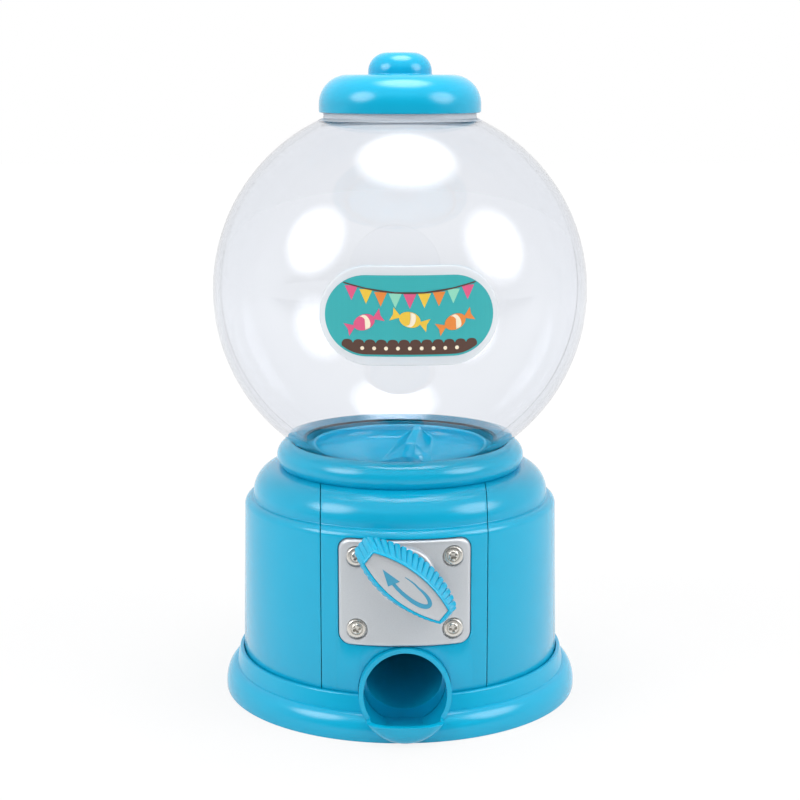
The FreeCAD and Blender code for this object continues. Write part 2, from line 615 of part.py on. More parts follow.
chute_back_y = CHUTE_END_Y + CHUTE_WALL
chute = trough(CHUTE_HALF_W + CHUTE_WALL, -CHUTE_WALL, chute_front_y, chute_back_y, DUCT_Z)
lean = (DUCT_Z - (SPOUT_Z + SPOUT_R - 2)) / (front_y - chute_front_y)
slab = Part.makeBox(2 * FAR, 2 * FAR, FAR, vec(-FAR, -FAR, 0))
slab.rotate(vec(0, 0, 0), vec(1, 0, 0), math.degrees(math.atan(lean)))
slab.translate(vec(0, chute_front_y, SPOUT_Z + SPOUT_R - 2))
slab = slab.common(box(-FAR, FAR, -FAR, front_y, -FAR, FAR))
chute = chute.cut(slab)
duct_rim = box(-DUCT_FLANGE_X, DUCT_FLANGE_X, front_y, back_y, DUCT_Z - DUCT_FLANGE_T, DUCT_Z)
chute = joined(chute, duct_rim)
chute = chute.cut(trough(CHUTE_HALF_W, 0, chute_front_y - 10, CHUTE_END_Y, DUCT_Z + 5))
for dx, dy, dz in duct_screws:
    chute = chute.cut(hole(M2[0] + HOLE_EASE, (dx, dy, dz), (0, 0, 1), DUCT_FLANGE_T + 1, 4))

# Outlet spout: short tube through the panel that ends in a cupped lip
cup_y = -(SPOUT_REACH - SPOUT_PLAN_R)


def cup(offset):
    """Round-footed pot that rounds the front of the spout, shrunk by an offset."""
    radius = SPOUT_PLAN_R - offset
    foot_round = SPOUT_FOOT_ROUND
    pot = turned(
        (0, SPOUT_FOOT + offset),
        (radius - foot_round, SPOUT_FOOT + offset),
        bend(radius - foot_round, SPOUT_FOOT + offset + foot_round, foot_round, -45, 0),
        (radius, FAR),
        (0, FAR),
    )
    pot.translate(vec(0, cup_y, 0))
    return pot


mouth_edge = -(DRUM_FOOT_R - 0.15)
bar = rod_y(SPOUT_R, -FAR, spout_seat_y - SPOUT_FLANGE_T, 0, SPOUT_Z)
front_half = bar.common(joined(cup(0), box(-FAR, FAR, cup_y, FAR, 0, FAR)))
core = rod_y(SPOUT_IN_R, -FAR, 0, 0, SPOUT_Z)
core = core.common(joined(cup(SPOUT_WALL), box(-FAR, FAR, cup_y, FAR, 0, FAR)))
back_floor = box(-FAR, FAR, mouth_edge, FAR, -FAR, SPOUT_INNER_FLOOR)
core = core.cut(back_floor)
spout = front_half.cut(box(-FAR, FAR, mouth_edge, FAR, -FAR, COVER_T + 0.1))
spout_flange = box(
    -SPOUT_FLANGE_X,
    SPOUT_FLANGE_X,
    spout_seat_y - SPOUT_FLANGE_T,
    spout_seat_y,
    COVER_T + 0.1,
    SPOUT_Z + SPOUT_SCREW_RISE + 2.8,
)
spout = joined(spout, spout_flange).cut(core)
rise = SPOUT_Z + SPOUT_R - LIP_Z
mouth = Part.Face(
    Part.makePolygon(
        [
            vec(-FAR, -LIP_BACK, LIP_Z),
            vec(-FAR, -SPOUT_BROW, LIP_Z + rise),
            vec(-FAR, -SPOUT_BROW, FAR),
            vec(-FAR, -FAR, FAR),
            vec(-FAR, -FAR, LIP_Z),
            vec(-FAR, -LIP_BACK, LIP_Z),
        ]
    )
)
outlet_spout = spout.cut(righted(mouth.extrude(vec(2 * FAR, 0, 0))))
for sx, sy, sz in spout_screws:
    outlet_spout = outlet_spout.cut(hole(M25[0] + HOLE_EASE, (sx, sy, sz), (0, -1, 0), 4, 1))

# Face plate: plate bent to the drum, with a round bearing boss and screw recesses
boss_y = -(drum_r(AXIS_Z) + PLATE_PROUD + BOSS_PROUD)
plate_blank = rounded_prism(PLATE_W, PLATE_H, PLATE_CORNER, PLATE_MID_Z, -FAR, FRONT_CUT_Y)
plate_band = drum_band(PLATE_LOW_Z - 2, PLATE_TOP_Z + 2, -PLATE_SUNK, PLATE_PROUD)
boss = rod_y(BOSS_R, boss_y, -(drum_r(AXIS_Z) - 4), 0, AXIS_Z)
boss = boss.makeFillet(0.6, [e for e in boss.Edges if abs(e.BoundBox.Center.y - boss_y) < 1e-6])
boss = boss.cut(turned(
    (0, 0),
    (drum_r(0) - PLATE_SUNK, 0),
    (drum_r(DRUM_SIDE_Z + 2) - PLATE_SUNK, DRUM_SIDE_Z + 2),
    (0, DRUM_SIDE_Z + 2),
))
face_plate = joined(plate_band.common(plate_blank), boss)
face_plate = face_plate.cut(rod_y(SPINDLE_R + BEARING_GAP, -FAR, FRONT_CUT_Y, 0, AXIS_Z))
for px, py, pz in plate_screws:
    face_plate = face_plate.cut(rod_y(M3[1] + 0.35, -FAR, py, px, pz))
    face_plate = face_plate.cut(hole(M3[0] + HOLE_EASE, (px, py, pz), (0, 1, 0), 6, 1))


# Knob: boat-shaped grip on a spindle, with an inlaid face
def lens(length, width, end, y):
    """Boat outline with cut-off ends, in X and Z round the origin."""
    a = vec(-length / 2, y, end / 2)
    b = vec(length / 2, y, end / 2)
    c = vec(length / 2, y, -end / 2)
    d = vec(-length / 2, y, -end / 2)
    edges = [
        Part.Arc(a, vec(0, y, width / 2), b).toShape(),
        Part.LineSegment(b, c).toShape(),
        Part.Arc(c, vec(0, y, -width / 2), d).toShape(),
        Part.LineSegment(d, a).toShape(),
    ]
    return Part.Wire(edges)


def set_on_axis(shape):
    """Turn a piece to the knob's rest and lift it to the knob's axis."""
    shape.rotate(vec(0, 0, 0), vec(0, 1, 0), KNOB_REST)
    shape.translate(vec(0, 0, AXIS_Z))
    return shape


knob_back_y = boss_y - KNOB_GAP
knob_front_y = knob_back_y - KNOB_DEPTH
grip = Part.makeLoft(
    [
        lens(KNOB_L_BACK, KNOB_W_BACK, KNOB_END_BACK, knob_back_y),
        lens(KNOB_L_FRONT, KNOB_W_FRONT, KNOB_END_FRONT, knob_front_y),
    ],
    True,
    True,
)
grip = righted(grip)
cavity_l = KNOB_L_BACK - 2.6 * KNOB_WALL
cavity_w = KNOB_W_BACK - 2.6 * KNOB_WALL
cavity = Part.makeLoft(
    [
        lens(cavity_l, cavity_w, 3.4, knob_back_y),
        lens(cavity_l - 3.0, cavity_w - 3.2, 2.6, knob_front_y + KNOB_FACE_T + KNOB_WALL),
    ],
    True,
    True,
)
cavity = righted(cavity).cut(rod_y(SPINDLE_R + 1.4, -FAR, 0, 0, 0))
rim2 = 2 * KNOB_RIM
inlay_at = (KNOB_L_FRONT - rim2, KNOB_W_FRONT - rim2, KNOB_END_FRONT - 0.4)
inlay_wire = lens(inlay_at[0], inlay_at[1], inlay_at[2], knob_front_y)
inlay = righted(Part.Face(inlay_wire).extrude(vec(0, KNOB_FACE_T, 0)))
grip = set_on_axis(grip.cut(cavity).cut(inlay))
knob_face = set_on_axis(inlay)
key_end_y = HALF_WHEEL - KEY_END_GAP
spindle = rod_y(SPINDLE_R, knob_back_y - 2, -HALF_WHEEL, 0, AXIS_Z)
key = rod_y(KEY_R, -HALF_WHEEL, key_end_y, 0, AXIS_Z)
key_room = box(-FAR, FAR, -FAR, FAR, AXIS_Z - FAR, AXIS_Z + KEY_FLAT)
key = key.common(key_room)
knob = joined(grip, spindle, key)
pilot = rod_y(M2[0], key_end_y - 5, key_end_y + 1, 0, AXIS_Z)
knob = knob.cut(pilot)

# Dispensing wheel: drum with a pocket on each side, keyed to the spindle
journal_end_y = back_y + 0.6
wheel = joined(
    rod_y(WHEEL_R, -HALF_WHEEL, HALF_WHEEL, 0, AXIS_Z),
    rod_y(JOURNAL_R, HALF_WHEEL, journal_end_y, 0, AXIS_Z),
)
for side in (-1, 1):
    floor = AXIS_Z + side * POCKET_FLOOR
    edge = AXIS_Z + side * 2 * WHEEL_R
    wheel = wheel.cut(rod_z(POCKET_R, min(floor, edge), max(floor, edge)))
wheel = wheel.cut(key.common(rod_y(FAR, -FAR, key_end_y, 0, AXIS_Z)))
dispensing_wheel = wheel.cut(rod_y(M2[0] + HOLE_EASE, -HALF_WHEEL, FAR, 0, AXIS_Z))

# Retaining washer and screw at the back of the wheel
washer_t = 0.8
wheel_washer = rod_y(JOURNAL_R + 1.6, journal_end_y, journal_end_y + washer_t, 0, AXIS_Z)
wheel_washer = wheel_washer.cut(rod_y(M2[0] + HOLE_EASE, 0, FAR, 0, AXIS_Z))
grip_len = journal_end_y + washer_t - key_end_y
wheel_screw = screw(
    (M2[0], M2[1] + 0.5, M2[2], grip_len + 4.0),
    (0, journal_end_y + washer_t, AXIS_Z),
    (0, -1, 0),
)

# Lid: lift-off cap with a round finial, seated on the filling neck
lid_arc_r = LID_R - LID_ROUND
finial_arc_r = FINIAL_R - FINIAL_ROUND
finial_top_z = LID_TOP_Z + FINIAL_H
lid_out = turned(
    (0, LID_LOW_Z),
    (LID_R, LID_LOW_Z),
    (LID_R, LID_TOP_Z - LID_ROUND),
    bend(lid_arc_r, LID_TOP_Z - LID_ROUND, LID_ROUND, 45, 90),
    (FINIAL_R, LID_TOP_Z),
    (FINIAL_R, finial_top_z - FINIAL_ROUND - 0.2),
    bend(finial_arc_r, finial_top_z - FINIAL_ROUND - 0.2, FINIAL_ROUND, 45, 90),
    (0, finial_top_z),
)
skirt_r = MOUTH_R + LID_GAP
lid_room_r = mouth_in_r - 0.2
cap_in_r = FINIAL_R - LID_TOP_T
lid_in = turned(
    (0, LID_LOW_Z - 1),
    (skirt_r, LID_LOW_Z - 1),
    (skirt_r, LID_SEAT_Z),
    (lid_room_r, LID_SEAT_Z),
    (lid_arc_r, LID_TOP_Z - LID_TOP_T),
    (cap_in_r, LID_TOP_Z - LID_TOP_T),
    (cap_in_r, finial_top_z - FINIAL_ROUND - 0.2),
    bend(finial_arc_r, finial_top_z - FINIAL_ROUND - 0.2, cap_in_r - finial_arc_r, 45, 90),
    (0, finial_top_z - FINIAL_ROUND - 0.2 + cap_in_r - finial_arc_r),
)
lid = lid_out.cut(lid_in)

parts = {
    "plinth": plinth,
    "bottom_cover": bottom_cover,
    "bottom_screws": Part.makeCompound(
        [screw(bottom_size, (bx, by, bottom_seat_z), (0, 0, 1)) for bx, by in bottom_screws]
    ),
    "rear_housing": rear_housing,
    "front_panel": front_panel,
    "collar": collar,
    "collar_screws": Part.makeCompound([screw(M2, seat, (0, 0, 1)) for seat in collar_screws]),
    "globe_front": globe_front,
    "globe_rear": globe_rear,
    "label": label,
    "hopper": hopper,
    "wheel_housing": wheel_housing,
    "housing_screws": Part.makeCompound([screw(M25, seat, (0, 0, 1)) for seat in ear_screws]),
    "chute": chute,
    "chute_screws": Part.makeCompound(
        [screw(M2[:3] + (CHUTE_SCREW_LEN,), seat, (0, 0, 1)) for seat in duct_screws]
    ),
    "outlet_spout": outlet_spout,
    "spout_screws": Part.makeCompound(
        [screw(M25[:3] + (SPOUT_SCREW_LEN,), seat, (0, -1, 0)) for seat in spout_screws]
    ),
    "face_plate": face_plate,
    "face_plate_screws": Part.makeCompound([screw(M3, seat, (0, 1, 0)) for seat in plate_screws]),
    "knob": knob,
    "knob_face": knob_face,
    "dispensing_wheel": dispensing_wheel,
    "wheel_washer": wheel_washer,
    "wheel_screw": wheel_screw,
    "lid": lid,
}

os.makedirs("parts", exist_ok=True)
for name, shape in parts.items():
    shape.exportStep("parts/%s.step" % name)
    print(name, "solids", len(shape.Solids), "volume %.1f" % shape.Volume, "valid", shape.isValid())
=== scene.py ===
"""Looks of a small table-top gumball machine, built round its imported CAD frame."""

import json
import logging
import math
from collections.abc import Callable
from dataclasses import dataclass
from enum import Enum, IntEnum

import bmesh
import bpy
from bmesh.types import BMVert, BMesh
from bpy.types import Material, Node, NodeOutputs, NodeSocket, NodeTree, Object, Scene
from mathutils import Matrix, Vector


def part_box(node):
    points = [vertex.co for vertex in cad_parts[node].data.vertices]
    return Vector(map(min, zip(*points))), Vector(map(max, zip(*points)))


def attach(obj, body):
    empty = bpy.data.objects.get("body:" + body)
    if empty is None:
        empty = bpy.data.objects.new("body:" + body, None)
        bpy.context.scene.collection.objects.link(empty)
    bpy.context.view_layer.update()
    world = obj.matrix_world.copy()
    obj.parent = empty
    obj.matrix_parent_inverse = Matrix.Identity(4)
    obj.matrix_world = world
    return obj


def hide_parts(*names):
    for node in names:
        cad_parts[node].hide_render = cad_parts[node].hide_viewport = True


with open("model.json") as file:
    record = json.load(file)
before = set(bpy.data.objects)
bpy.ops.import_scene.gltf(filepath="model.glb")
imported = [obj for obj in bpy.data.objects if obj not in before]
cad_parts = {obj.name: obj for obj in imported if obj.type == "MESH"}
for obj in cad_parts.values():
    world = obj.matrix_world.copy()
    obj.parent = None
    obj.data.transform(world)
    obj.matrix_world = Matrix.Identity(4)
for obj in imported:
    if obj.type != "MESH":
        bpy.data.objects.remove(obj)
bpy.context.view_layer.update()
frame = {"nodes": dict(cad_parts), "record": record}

LOG = logging.getLogger("gumball_machine")
Point = tuple[float, float]
Corner = tuple[float, float, float]
Surface = Callable[[float, float], float]
Value = float | str | tuple | NodeSocket

# One millimetre in metres. The lengths after it are in millimetres:
# a distance that counts as none, one that lies outside every piece,
# the outlet's radius and height, and the height of the knob's axis.
MM = 0.001
TINY = 1e-5
FAR = 90.0
OUTLET_R = 12.4
OUTLET_Z = 12.6
KNOB_Z = 45.1


class Body(Enum):
    """Rigid bodies of the machine, by their names in the frame."""

    MACHINE = "machine"
    KNOB = "knob_group"
    LID = "lid"


class Slot(Enum):
    """Material slots of the record."""

    ABS = "turquoise_abs"
    CLEAR = "clear_styrene"
    SILVER = "silver_abs"
    STEEL = "nickel_steel"
    FILM = "label_film"


class Ink(IntEnum):
    """Inks of the label's film, in the order of its material slots."""

    TEAL = 0
    BROWN = 1
    PINK = 2
    YELLOW = 3
    ORANGE = 4
    MINT = 5
    CREAM = 6


INK_COLOURS = {
    Ink.TEAL: "#37ADB1",
    Ink.BROWN: "#5A4037",
    Ink.PINK: "#DE5C86",
    Ink.YELLOW: "#EBC443",
    Ink.ORANGE: "#E78A3E",
    Ink.MINT: "#8FD8BE",
    Ink.CREAM: "#F4E8CE",
}


def linear(code: str) -> tuple[float, ...]:
    """Turn an sRGB hex colour into linear light.

    Args:
        code: Six hex digits after a hash.

    Returns:
        Linear red, green, blue and an alpha of one.
    """
    parts = [int(code[i:i + 2], 16) / 255 for i in (1, 3, 5)]
    light = [c / 12.92 if c <= 0.04045 else ((c + 0.055) / 1.055) ** 2.4 for c in parts]
    return (*light, 1.0)


@dataclass
class Board:
    """A node tree, with short ways to add the nodes that the finishes share."""

    tree: NodeTree

    def add(self, kind: str, inputs: dict[str | int, Value] | None = None, **settings: str) -> Node:
        """Add one node with its settings, input values and links.

        Args:
            kind: Blender's type name of the node.
            inputs: Socket name or number to a value, or to an output socket to link.
            **settings: Attributes set on the node itself.

        Returns:
            The new node.
        """
        node = self.tree.nodes.new(kind)
        for name, value in settings.items():
            setattr(node, name, value)
        for key, value in (inputs or {}).items():
            if isinstance(value, NodeSocket):
                self.tree.links.new(value, node.inputs[key])
            else:
                node.inputs[key].default_value = value
        return node

    def place(self) -> NodeSocket:
        """Return the object coordinates."""
        return self.add("ShaderNodeTexCoord").outputs["Object"]

    def calc(self, operation: str, one: Value, two: Value) -> NodeSocket:
        """Return the result of an operation on two numbers."""
        return self.add("ShaderNodeMath", {0: one, 1: two}, operation=operation).outputs[0]

    def noise(self, grain_mm: float, detail: float = 2.0) -> NodeSocket:
        """Return soft noise of a grain size that is fixed to the piece."""
        inputs = {"Vector": self.place(), "Scale": 1 / (grain_mm * MM), "Detail": detail}
        return self.add("ShaderNodeTexNoise", inputs).outputs["Fac"]

    def spread(
        self, value: Value, low: Value, high: Value, span: Point = (0, 1), kind: str = "LINEAR"
    ) -> NodeSocket:
        """Map a number from one range to another.

        Args:
            value: Number to map.
            low: Result at the start of the span.
            high: Result at its end.
            span: Range that the number comes from.
            kind: Blender's name of the interpolation.

        Returns:
            The mapped number, held within the results.
        """
        inputs = {"Value": value, "From Min": span[0], "From Max": span[1], "To Min": low, "To Max": high}
        return self.add("ShaderNodeMapRange", inputs, interpolation_type=kind).outputs["Result"]

    def brighten(self, colour: Value, value: Value) -> NodeSocket:
        """Return a colour made lighter or darker by a factor."""
        return self.add("ShaderNodeHueSaturation", {"Color": colour, "Value": value}).outputs["Color"]

    def looked_at(self, path: NodeOutputs) -> NodeSocket:
        """Return one where the eye sees a place straight, in gloss or through the globe."""
        seen = self.calc("MAXIMUM", path["Is Camera Ray"], path["Is Glossy Ray"])
        return self.calc("MAXIMUM", seen, path["Is Transmission Ray"])


@dataclass(frozen=True)
class Finish:
    """A surface that is built as one node material."""

    name: str
    colour: str
    roughness: float

    def surface(self, board: Board) -> dict[str, Value]:
        """Return the shader's inputs for an even surface."""
        return {"Base Color": linear(self.colour), "Roughness": self.roughness}

    def volume(self, board: Board) -> dict[str, Value]:
        """Return the output's volume link, which only a clear finish has."""
        return {}

    def rough(self, board: Board, noise: NodeSocket, share: Point) -> NodeSocket:
        """Return the roughness between two shares of its mean, by a noise."""
        return board.spread(noise, self.roughness * share[0], self.roughness * share[1])

    def build(self) -> Material:
        """Return the finish as a new material."""
        material = bpy.data.materials.new(self.name)
        material.use_nodes = True
        material.node_tree.nodes.clear()
        board = Board(material.node_tree)
        shader = board.add("ShaderNodeBsdfPrincipled", self.surface(board))
        board.add("ShaderNodeOutputMaterial", {"Surface": shader.outputs["BSDF"]} | self.volume(board))
        return material


@dataclass(frozen=True)
class MouldedPlastic(Finish):
    """Injection-moulded ABS with a polished tool finish.

    The eye sees an even body colour, sharp but slightly rippled reflections
    from the moulding's sink, and a little dulling from handling.
    """

    shade: str
    metallic: float = 0.0
    fleck_mm: float = 0.0
    fleck: Point = (0.93, 1.07)
    dulling: Point = (0.85, 1.2)
    flow_mm: float = 30.0
    ripple_mm: float = 14.0
    ripple: float = 0.02
    ior: float = 1.54
    gloss: float = 0.4

    def surface(self, board: Board) -> dict[str, Value]:
        """Return the moulding's colour drift, dulling and ripple.

        Args:
            board: Tree of the material.

        Returns:
            Inputs of the shader.
        """
        flow = board.noise(self.flow_mm)
        ends = {"Factor": flow, "A": linear(self.colour), "B": linear(self.shade)}
        colour = board.add("ShaderNodeMix", ends, data_type="RGBA").outputs["Result"]
        if self.fleck_mm:
            colour = board.brighten(colour, board.spread(board.noise(self.fleck_mm), *self.fleck))
        sink = {"Height": board.noise(self.ripple_mm, 1.0), "Strength": self.ripple, "Distance": MM}
        return {
            "Base Color": colour,
            "Roughness": self.rough(board, flow, self.dulling),
            "Metallic": self.metallic,
            "IOR": self.ior,
            "Specular IOR Level": self.gloss,
            "Normal": board.add("ShaderNodeBump", sink).outputs["Normal"],
        }


@dataclass(frozen=True)
class EtchedStyrene(Finish):
    """Polystyrene from an etched part of the tool: pale, cloudy and satin."""

    clear: float = 0.5
    ior: float = 1.5
    grain_mm: float = 0.6
    grain: Point = (0.8, 1.2)

    def surface(self, board: Board) -> dict[str, Value]:
        """Return a skin that lets light through, with a grain in its roughness.

        Args:
            board: Tree of the material.

        Returns:
            Inputs of the shader.
        """
        satin = self.rough(board, board.noise(self.grain_mm), self.grain)
        see_through = {"IOR": self.ior, "Transmission Weight": self.clear}
        return super().surface(board) | {"Roughness": satin} | see_through


@dataclass(frozen=True)
class ClearStyrene(EtchedStyrene):
    """Clear moulded polystyrene, polished on both sides, with a faint haze.

    The eye sees through it with a faint cool tint, and its rims gather grey.
    """

    clear: float = 1.0
    grain_mm: float = 18.0
    grain: Point = (0.0, 1.0)
    depth_tint: str = "#BFC9DA"
    depth_per_m: float = 130.0

    def volume(self, board: Board) -> dict[str, Value]:
        """Return the tint that gathers with depth."""
        inputs = {"Color": linear(self.depth_tint), "Density": self.depth_per_m}
        return {"Volume": board.add("ShaderNodeVolumeAbsorption", inputs).outputs["Volume"]}


@dataclass(frozen=True)
class PlatedSteel(Finish):
    """Nickel-plated steel, tumbled: a bright metal with fine scuffs."""

    scuff_mm: float = 0.35
    scuff_detail: float = 3.0
    scuff: Point = (0.6, 1.5)

    def surface(self, board: Board) -> dict[str, Value]:
        """Return the metal with scuffs in its roughness."""
        worn = self.rough(board, board.noise(self.scuff_mm, self.scuff_detail), self.scuff)
        return super().surface(board) | {"Metallic": 1.0, "Roughness": worn}


@dataclass(frozen=True)
class PrintedFilm(Finish):
    """Screen-printed vinyl film: flat ink with a faint dot under a gloss coat."""

    roughness: float = 0.28
    dot_mm: float = 0.5
    dot: Point = (1.03, 0.96)
    dot_scatter: float = 0.15
    coat: float = 0.4
    coat_roughness: float = 0.1

    def surface(self, board: Board) -> dict[str, Value]:
        """Return the ink with its printing dot and coat.

        Args:
            board: Tree of the material.

        Returns:
            Inputs of the shader.
        """
        screen = {"Vector": board.place(), "Scale": 1 / (self.dot_mm * MM), "Randomness": self.dot_scatter}
        dots = board.add("ShaderNodeTexVoronoi", screen).outputs["Distance"]
        return {
            "Base Color": board.brighten(linear(self.colour), board.spread(dots, *self.dot)),
            "Roughness": self.roughness,
            "Coat Weight": self.coat,
            "Coat Roughness": self.coat_roughness,
        }


@dataclass(frozen=True)
class PaperSweep(Finish):
    """Matt white paper that stays white in view and keeps the object's shadow.

    Distances are in metres. The front is darker for all but the camera, so
    that glossy surfaces mirror a dim room there.
    """

    room_level: float
    bounce: float = 0.7
    seen: float = 0.1
    glow: Point = (0.86, 0.98)
    glow_reach: Point = (0.12, 0.7)
    front_y: Point = (-0.45, -0.12)

    def surface(self, board: Board) -> dict[str, Value]:
        """Return a paper that is lit by itself where the eye sees it.

        Args:
            board: Tree of the material.

        Returns:
            Inputs of the shader.
        """
        path = board.add("ShaderNodeLightPath").outputs
        white = board.looked_at(path)
        place = board.place()
        reach = board.add("ShaderNodeVectorMath", {0: place}, operation="LENGTH").outputs["Value"]
        away = board.spread(reach, *self.glow, self.glow_reach)
        depth = board.add("ShaderNodeSeparateXYZ", {0: place}).outputs["Y"]
        near = board.spread(depth, self.room_level, 1.0, self.front_y)
        lit = board.calc("MAXIMUM", near, path["Is Camera Ray"])
        return {
            "Base Color": board.spread(white, self.bounce, self.seen),
            "Roughness": self.roughness,
            "Specular IOR Level": 0.0,
            "Emission Color": linear(self.colour),
            "Emission Strength": board.spread(white, 0.0, board.calc("MULTIPLY", away, lit)),
        }


class Palette:
    """The machine's materials, each built once."""

    def __init__(self) -> None:
        """Build every finish."""
        glossy = MouldedPlastic("turquoise ABS, moulded glossy", "#02A7CE", roughness=0.16, shade="#05ABD2")
        self.abs = glossy.build()
        self.clear = ClearStyrene("clear polystyrene, moulded", "#FFFFFF", roughness=0.03).build()
        self.frosted = EtchedStyrene("polystyrene, etched pad", "#DDE2E7", roughness=0.42).build()
        self.neck = EtchedStyrene("polystyrene, cloudy neck", "#E8EDF4", roughness=0.42).build()
        lacquer = MouldedPlastic(
            "silver-lacquered ABS, satin", "#C6CACE",
            roughness=0.38, shade="#CBCFD3", metallic=0.55, fleck_mm=0.25,
        )
        self.silver = lacquer.build()
        self.steel = PlatedSteel("nickel-plated steel, tumbled", "#DEDBD4", roughness=0.28).build()
        films = [PrintedFilm(f"printed vinyl film, {ink.name.lower()}", INK_COLOURS[ink]) for ink in Ink]
        self.inks = [film.build() for film in films]
        self.blue = PrintedFilm("pad-printed ink, blue", "#2E92B4").build()


def node_box(name: str) -> tuple[Vector, Vector]:
    """Return a CAD node's lowest and highest corners in millimetres."""
    low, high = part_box(name)
    return low / MM, high / MM


def arc(centre: Point, radius: Point, start: float, end: float, steps: int = 16) -> list[Point]:
    """Points of an elliptical arc.

    Args:
        centre: Centre of the arc.
        radius: Radii along the two axes.
        start: First angle in degrees.
        end: Last angle in degrees.
        steps: Number of spans.

    Returns:
        The points, both ends included.
    """
    turns = [math.radians(start + (end - start) * i / steps) for i in range(steps + 1)]
    return [(centre[0] + radius[0] * math.cos(t), centre[1] + radius[1] * math.sin(t)) for t in turns]


def disc(centre: Point, radius: Point, steps: int) -> list[Point]:
    """Points of a whole ellipse, with no point twice."""
    return arc(centre, radius, 0, 360, steps)[:-1]


def rounded(corners: list[Corner], steps: int = 7) -> list[Point]:
    """Round the corners of an outline.

    Args:
        corners: Closed outline as (first, second, rounding radius).
        steps: Spans in each rounding.

    Returns:
        The outline's points with arcs at its corners.
    """
    path: list[Point] = []
    most = 0.95
    for i, (a, b, radius) in enumerate(corners):
        if radius <= 0:
            path.append((a, b))
            continue
        here = Vector((a, b))
        before = Vector(corners[i - 1][:2]) - here
        after = Vector(corners[(i + 1) % len(corners)][:2]) - here
        half = before.angle(after) / 2
        reach = min(radius / math.tan(half), before.length * most, after.length * most)
        bend = reach * math.tan(half)
        inward = (before.normalized() + after.normalized()).normalized()
        centre = here + inward * (bend / math.sin(half))
        first = here + before.normalized() * reach - centre
        last = here + after.normalized() * reach - centre
        start = math.atan2(first.y, first.x)
        sweep = math.remainder(math.atan2(last.y, last.x) - start, math.tau)
        path += arc(centre, (bend, bend), math.degrees(start), math.degrees(start + sweep), steps)
    return path


def densified(path: list[Point], span: float) -> list[Point]:
    """Split the long straights of an open path.

    Args:
        path: Points in order.
        span: Length over which a straight is split.

    Returns:
        The path with the added points.
    """
    made: list[Point] = []
    for a, b in zip(path[:-1], path[1:]):
        count = max(1, int(math.dist(a, b) / span))
        made += [(a[0] + (b[0] - a[0]) * i / count, a[1] + (b[1] - a[1]) * i / count) for i in range(count)]
    return made + [path[-1]]


def stadium(width: float, height: float, middle: Point, steps: int = 28, flat: int = 10) -> list[Point]:
    """Outline of a bar with round ends.

    Args:
        width: Length over the round ends.
        height: Height of the bar.
        middle: Middle of the bar.
        steps: Spans of each round end.
        flat: Spans of each straight.

    Returns:
        The closed outline.
    """
    half = (width - height) / 2
    radius = (height / 2, height / 2)
    x, z = middle
    across = [half - 2 * half * i / flat for i in range(1, flat)]
    top = [(x + a, z + radius[1]) for a in across]
    low = [(x - a, z - radius[1]) for a in across]
    return arc((x + half, z), radius, -90, 90, steps) + top + arc((x - half, z), radius, 90, 270, steps) + low


def new_piece(name: str, bm: BMesh, *materials: Material) -> Object:
    """Turn a bmesh in millimetres into an object in metres.

    Args:
        name: Name of the object.
        bm: Mesh to take over; it is freed.
        *materials: Materials of the object's slots.

    Returns:
        The new object at the origin.
    """
    bmesh.ops.scale(bm, vec=(MM, MM, MM), verts=bm.verts)
    mesh = bpy.data.meshes.new(name)
    bm.to_mesh(mesh)
    bm.free()
    piece = bpy.data.objects.new(name, mesh)
    bpy.context.scene.collection.objects.link(piece)
    for material in materials:
        mesh.materials.append(material)
    return piece


def soften(piece: Object, angle: float = 32.0) -> Object:
    """Shade a piece smooth.

    Args:
        piece: Piece to shade.
        angle: Edges over this angle in degrees stay sharp.

    Returns:
        The same piece.
    """
    piece.data.shade_smooth()
    piece.data.set_sharp_from_angle(angle=math.radians(angle))
    return piece


def settle(piece: Object) -> None:
    """Turn a piece's modifiers into plain mesh.

    Args:
        piece: Piece to change.
    """
    graph = bpy.context.evaluated_depsgraph_get()
    graph.update()
    mesh = bpy.data.meshes.new_from_object(piece.evaluated_get(graph), depsgraph=graph)
    old = piece.data
    piece.modifiers.clear()
    piece.data = mesh
    mesh.name = piece.name
    bpy.data.meshes.remove(old)


def carve(piece: Object, tool: Object, operation: str = "DIFFERENCE") -> None:
    """Cut, keep or join a piece with a tool body, which is used up.

    Args:
        piece: Piece to change.
        tool: Closed mesh to work with.
        operation: DIFFERENCE, INTERSECT or UNION.
    """
    change = piece.modifiers.new("carve", "BOOLEAN")
    change.operation = operation
    change.solver = "EXACT"
    change.object = tool
    settle(piece)
    bpy.data.objects.remove(tool)


def edge_round(piece: Object, width: float, angle: float, segments: int = 2) -> None:
    """Round the sharp edges of a piece.

    Args:
        piece: Piece to change.
        width: Width of the rounding in millimetres.
        angle: Edges over this angle in degrees are rounded.
        segments: Spans of the rounding.
    """
    bevel = piece.modifiers.new("edge", "BEVEL")
    bevel.width = width * MM
    bevel.segments = segments
    bevel.limit_method = "ANGLE"
    bevel.angle_limit = math.radians(angle)
    bevel.use_clamp_overlap = True
    settle(piece)


def skin(bm: BMesh, rows: list[list[BMVert]], closed: bool = True) -> None:
    """Lay faces between rows of points, as far as the shorter of two rows goes.

    Args:
        bm: Mesh that holds the points.
        rows: Rows in order.
        closed: Whether each row ends where it starts.
    """
    for one, two in zip(rows[:-1], rows[1:]):
        count = min(len(one), len(two))
        for j in range(count if closed else count - 1):
            k = (j + 1) % count
            if (one[j].co - two[j].co).length > TINY or (one[k].co - two[k].co).length > TINY:
                bm.faces.new((one[j], one[k], two[k], two[j]))


def mend(bm: BMesh) -> None:
    """Join points that coincide and turn all faces outwards.

    Args:
        bm: Mesh to mend.
    """
    bmesh.ops.remove_doubles(bm, verts=bm.verts, dist=TINY)
    bmesh.ops.dissolve_degenerate(bm, edges=bm.edges, dist=TINY / 10)
    bmesh.ops.recalc_face_normals(bm, faces=bm.faces)


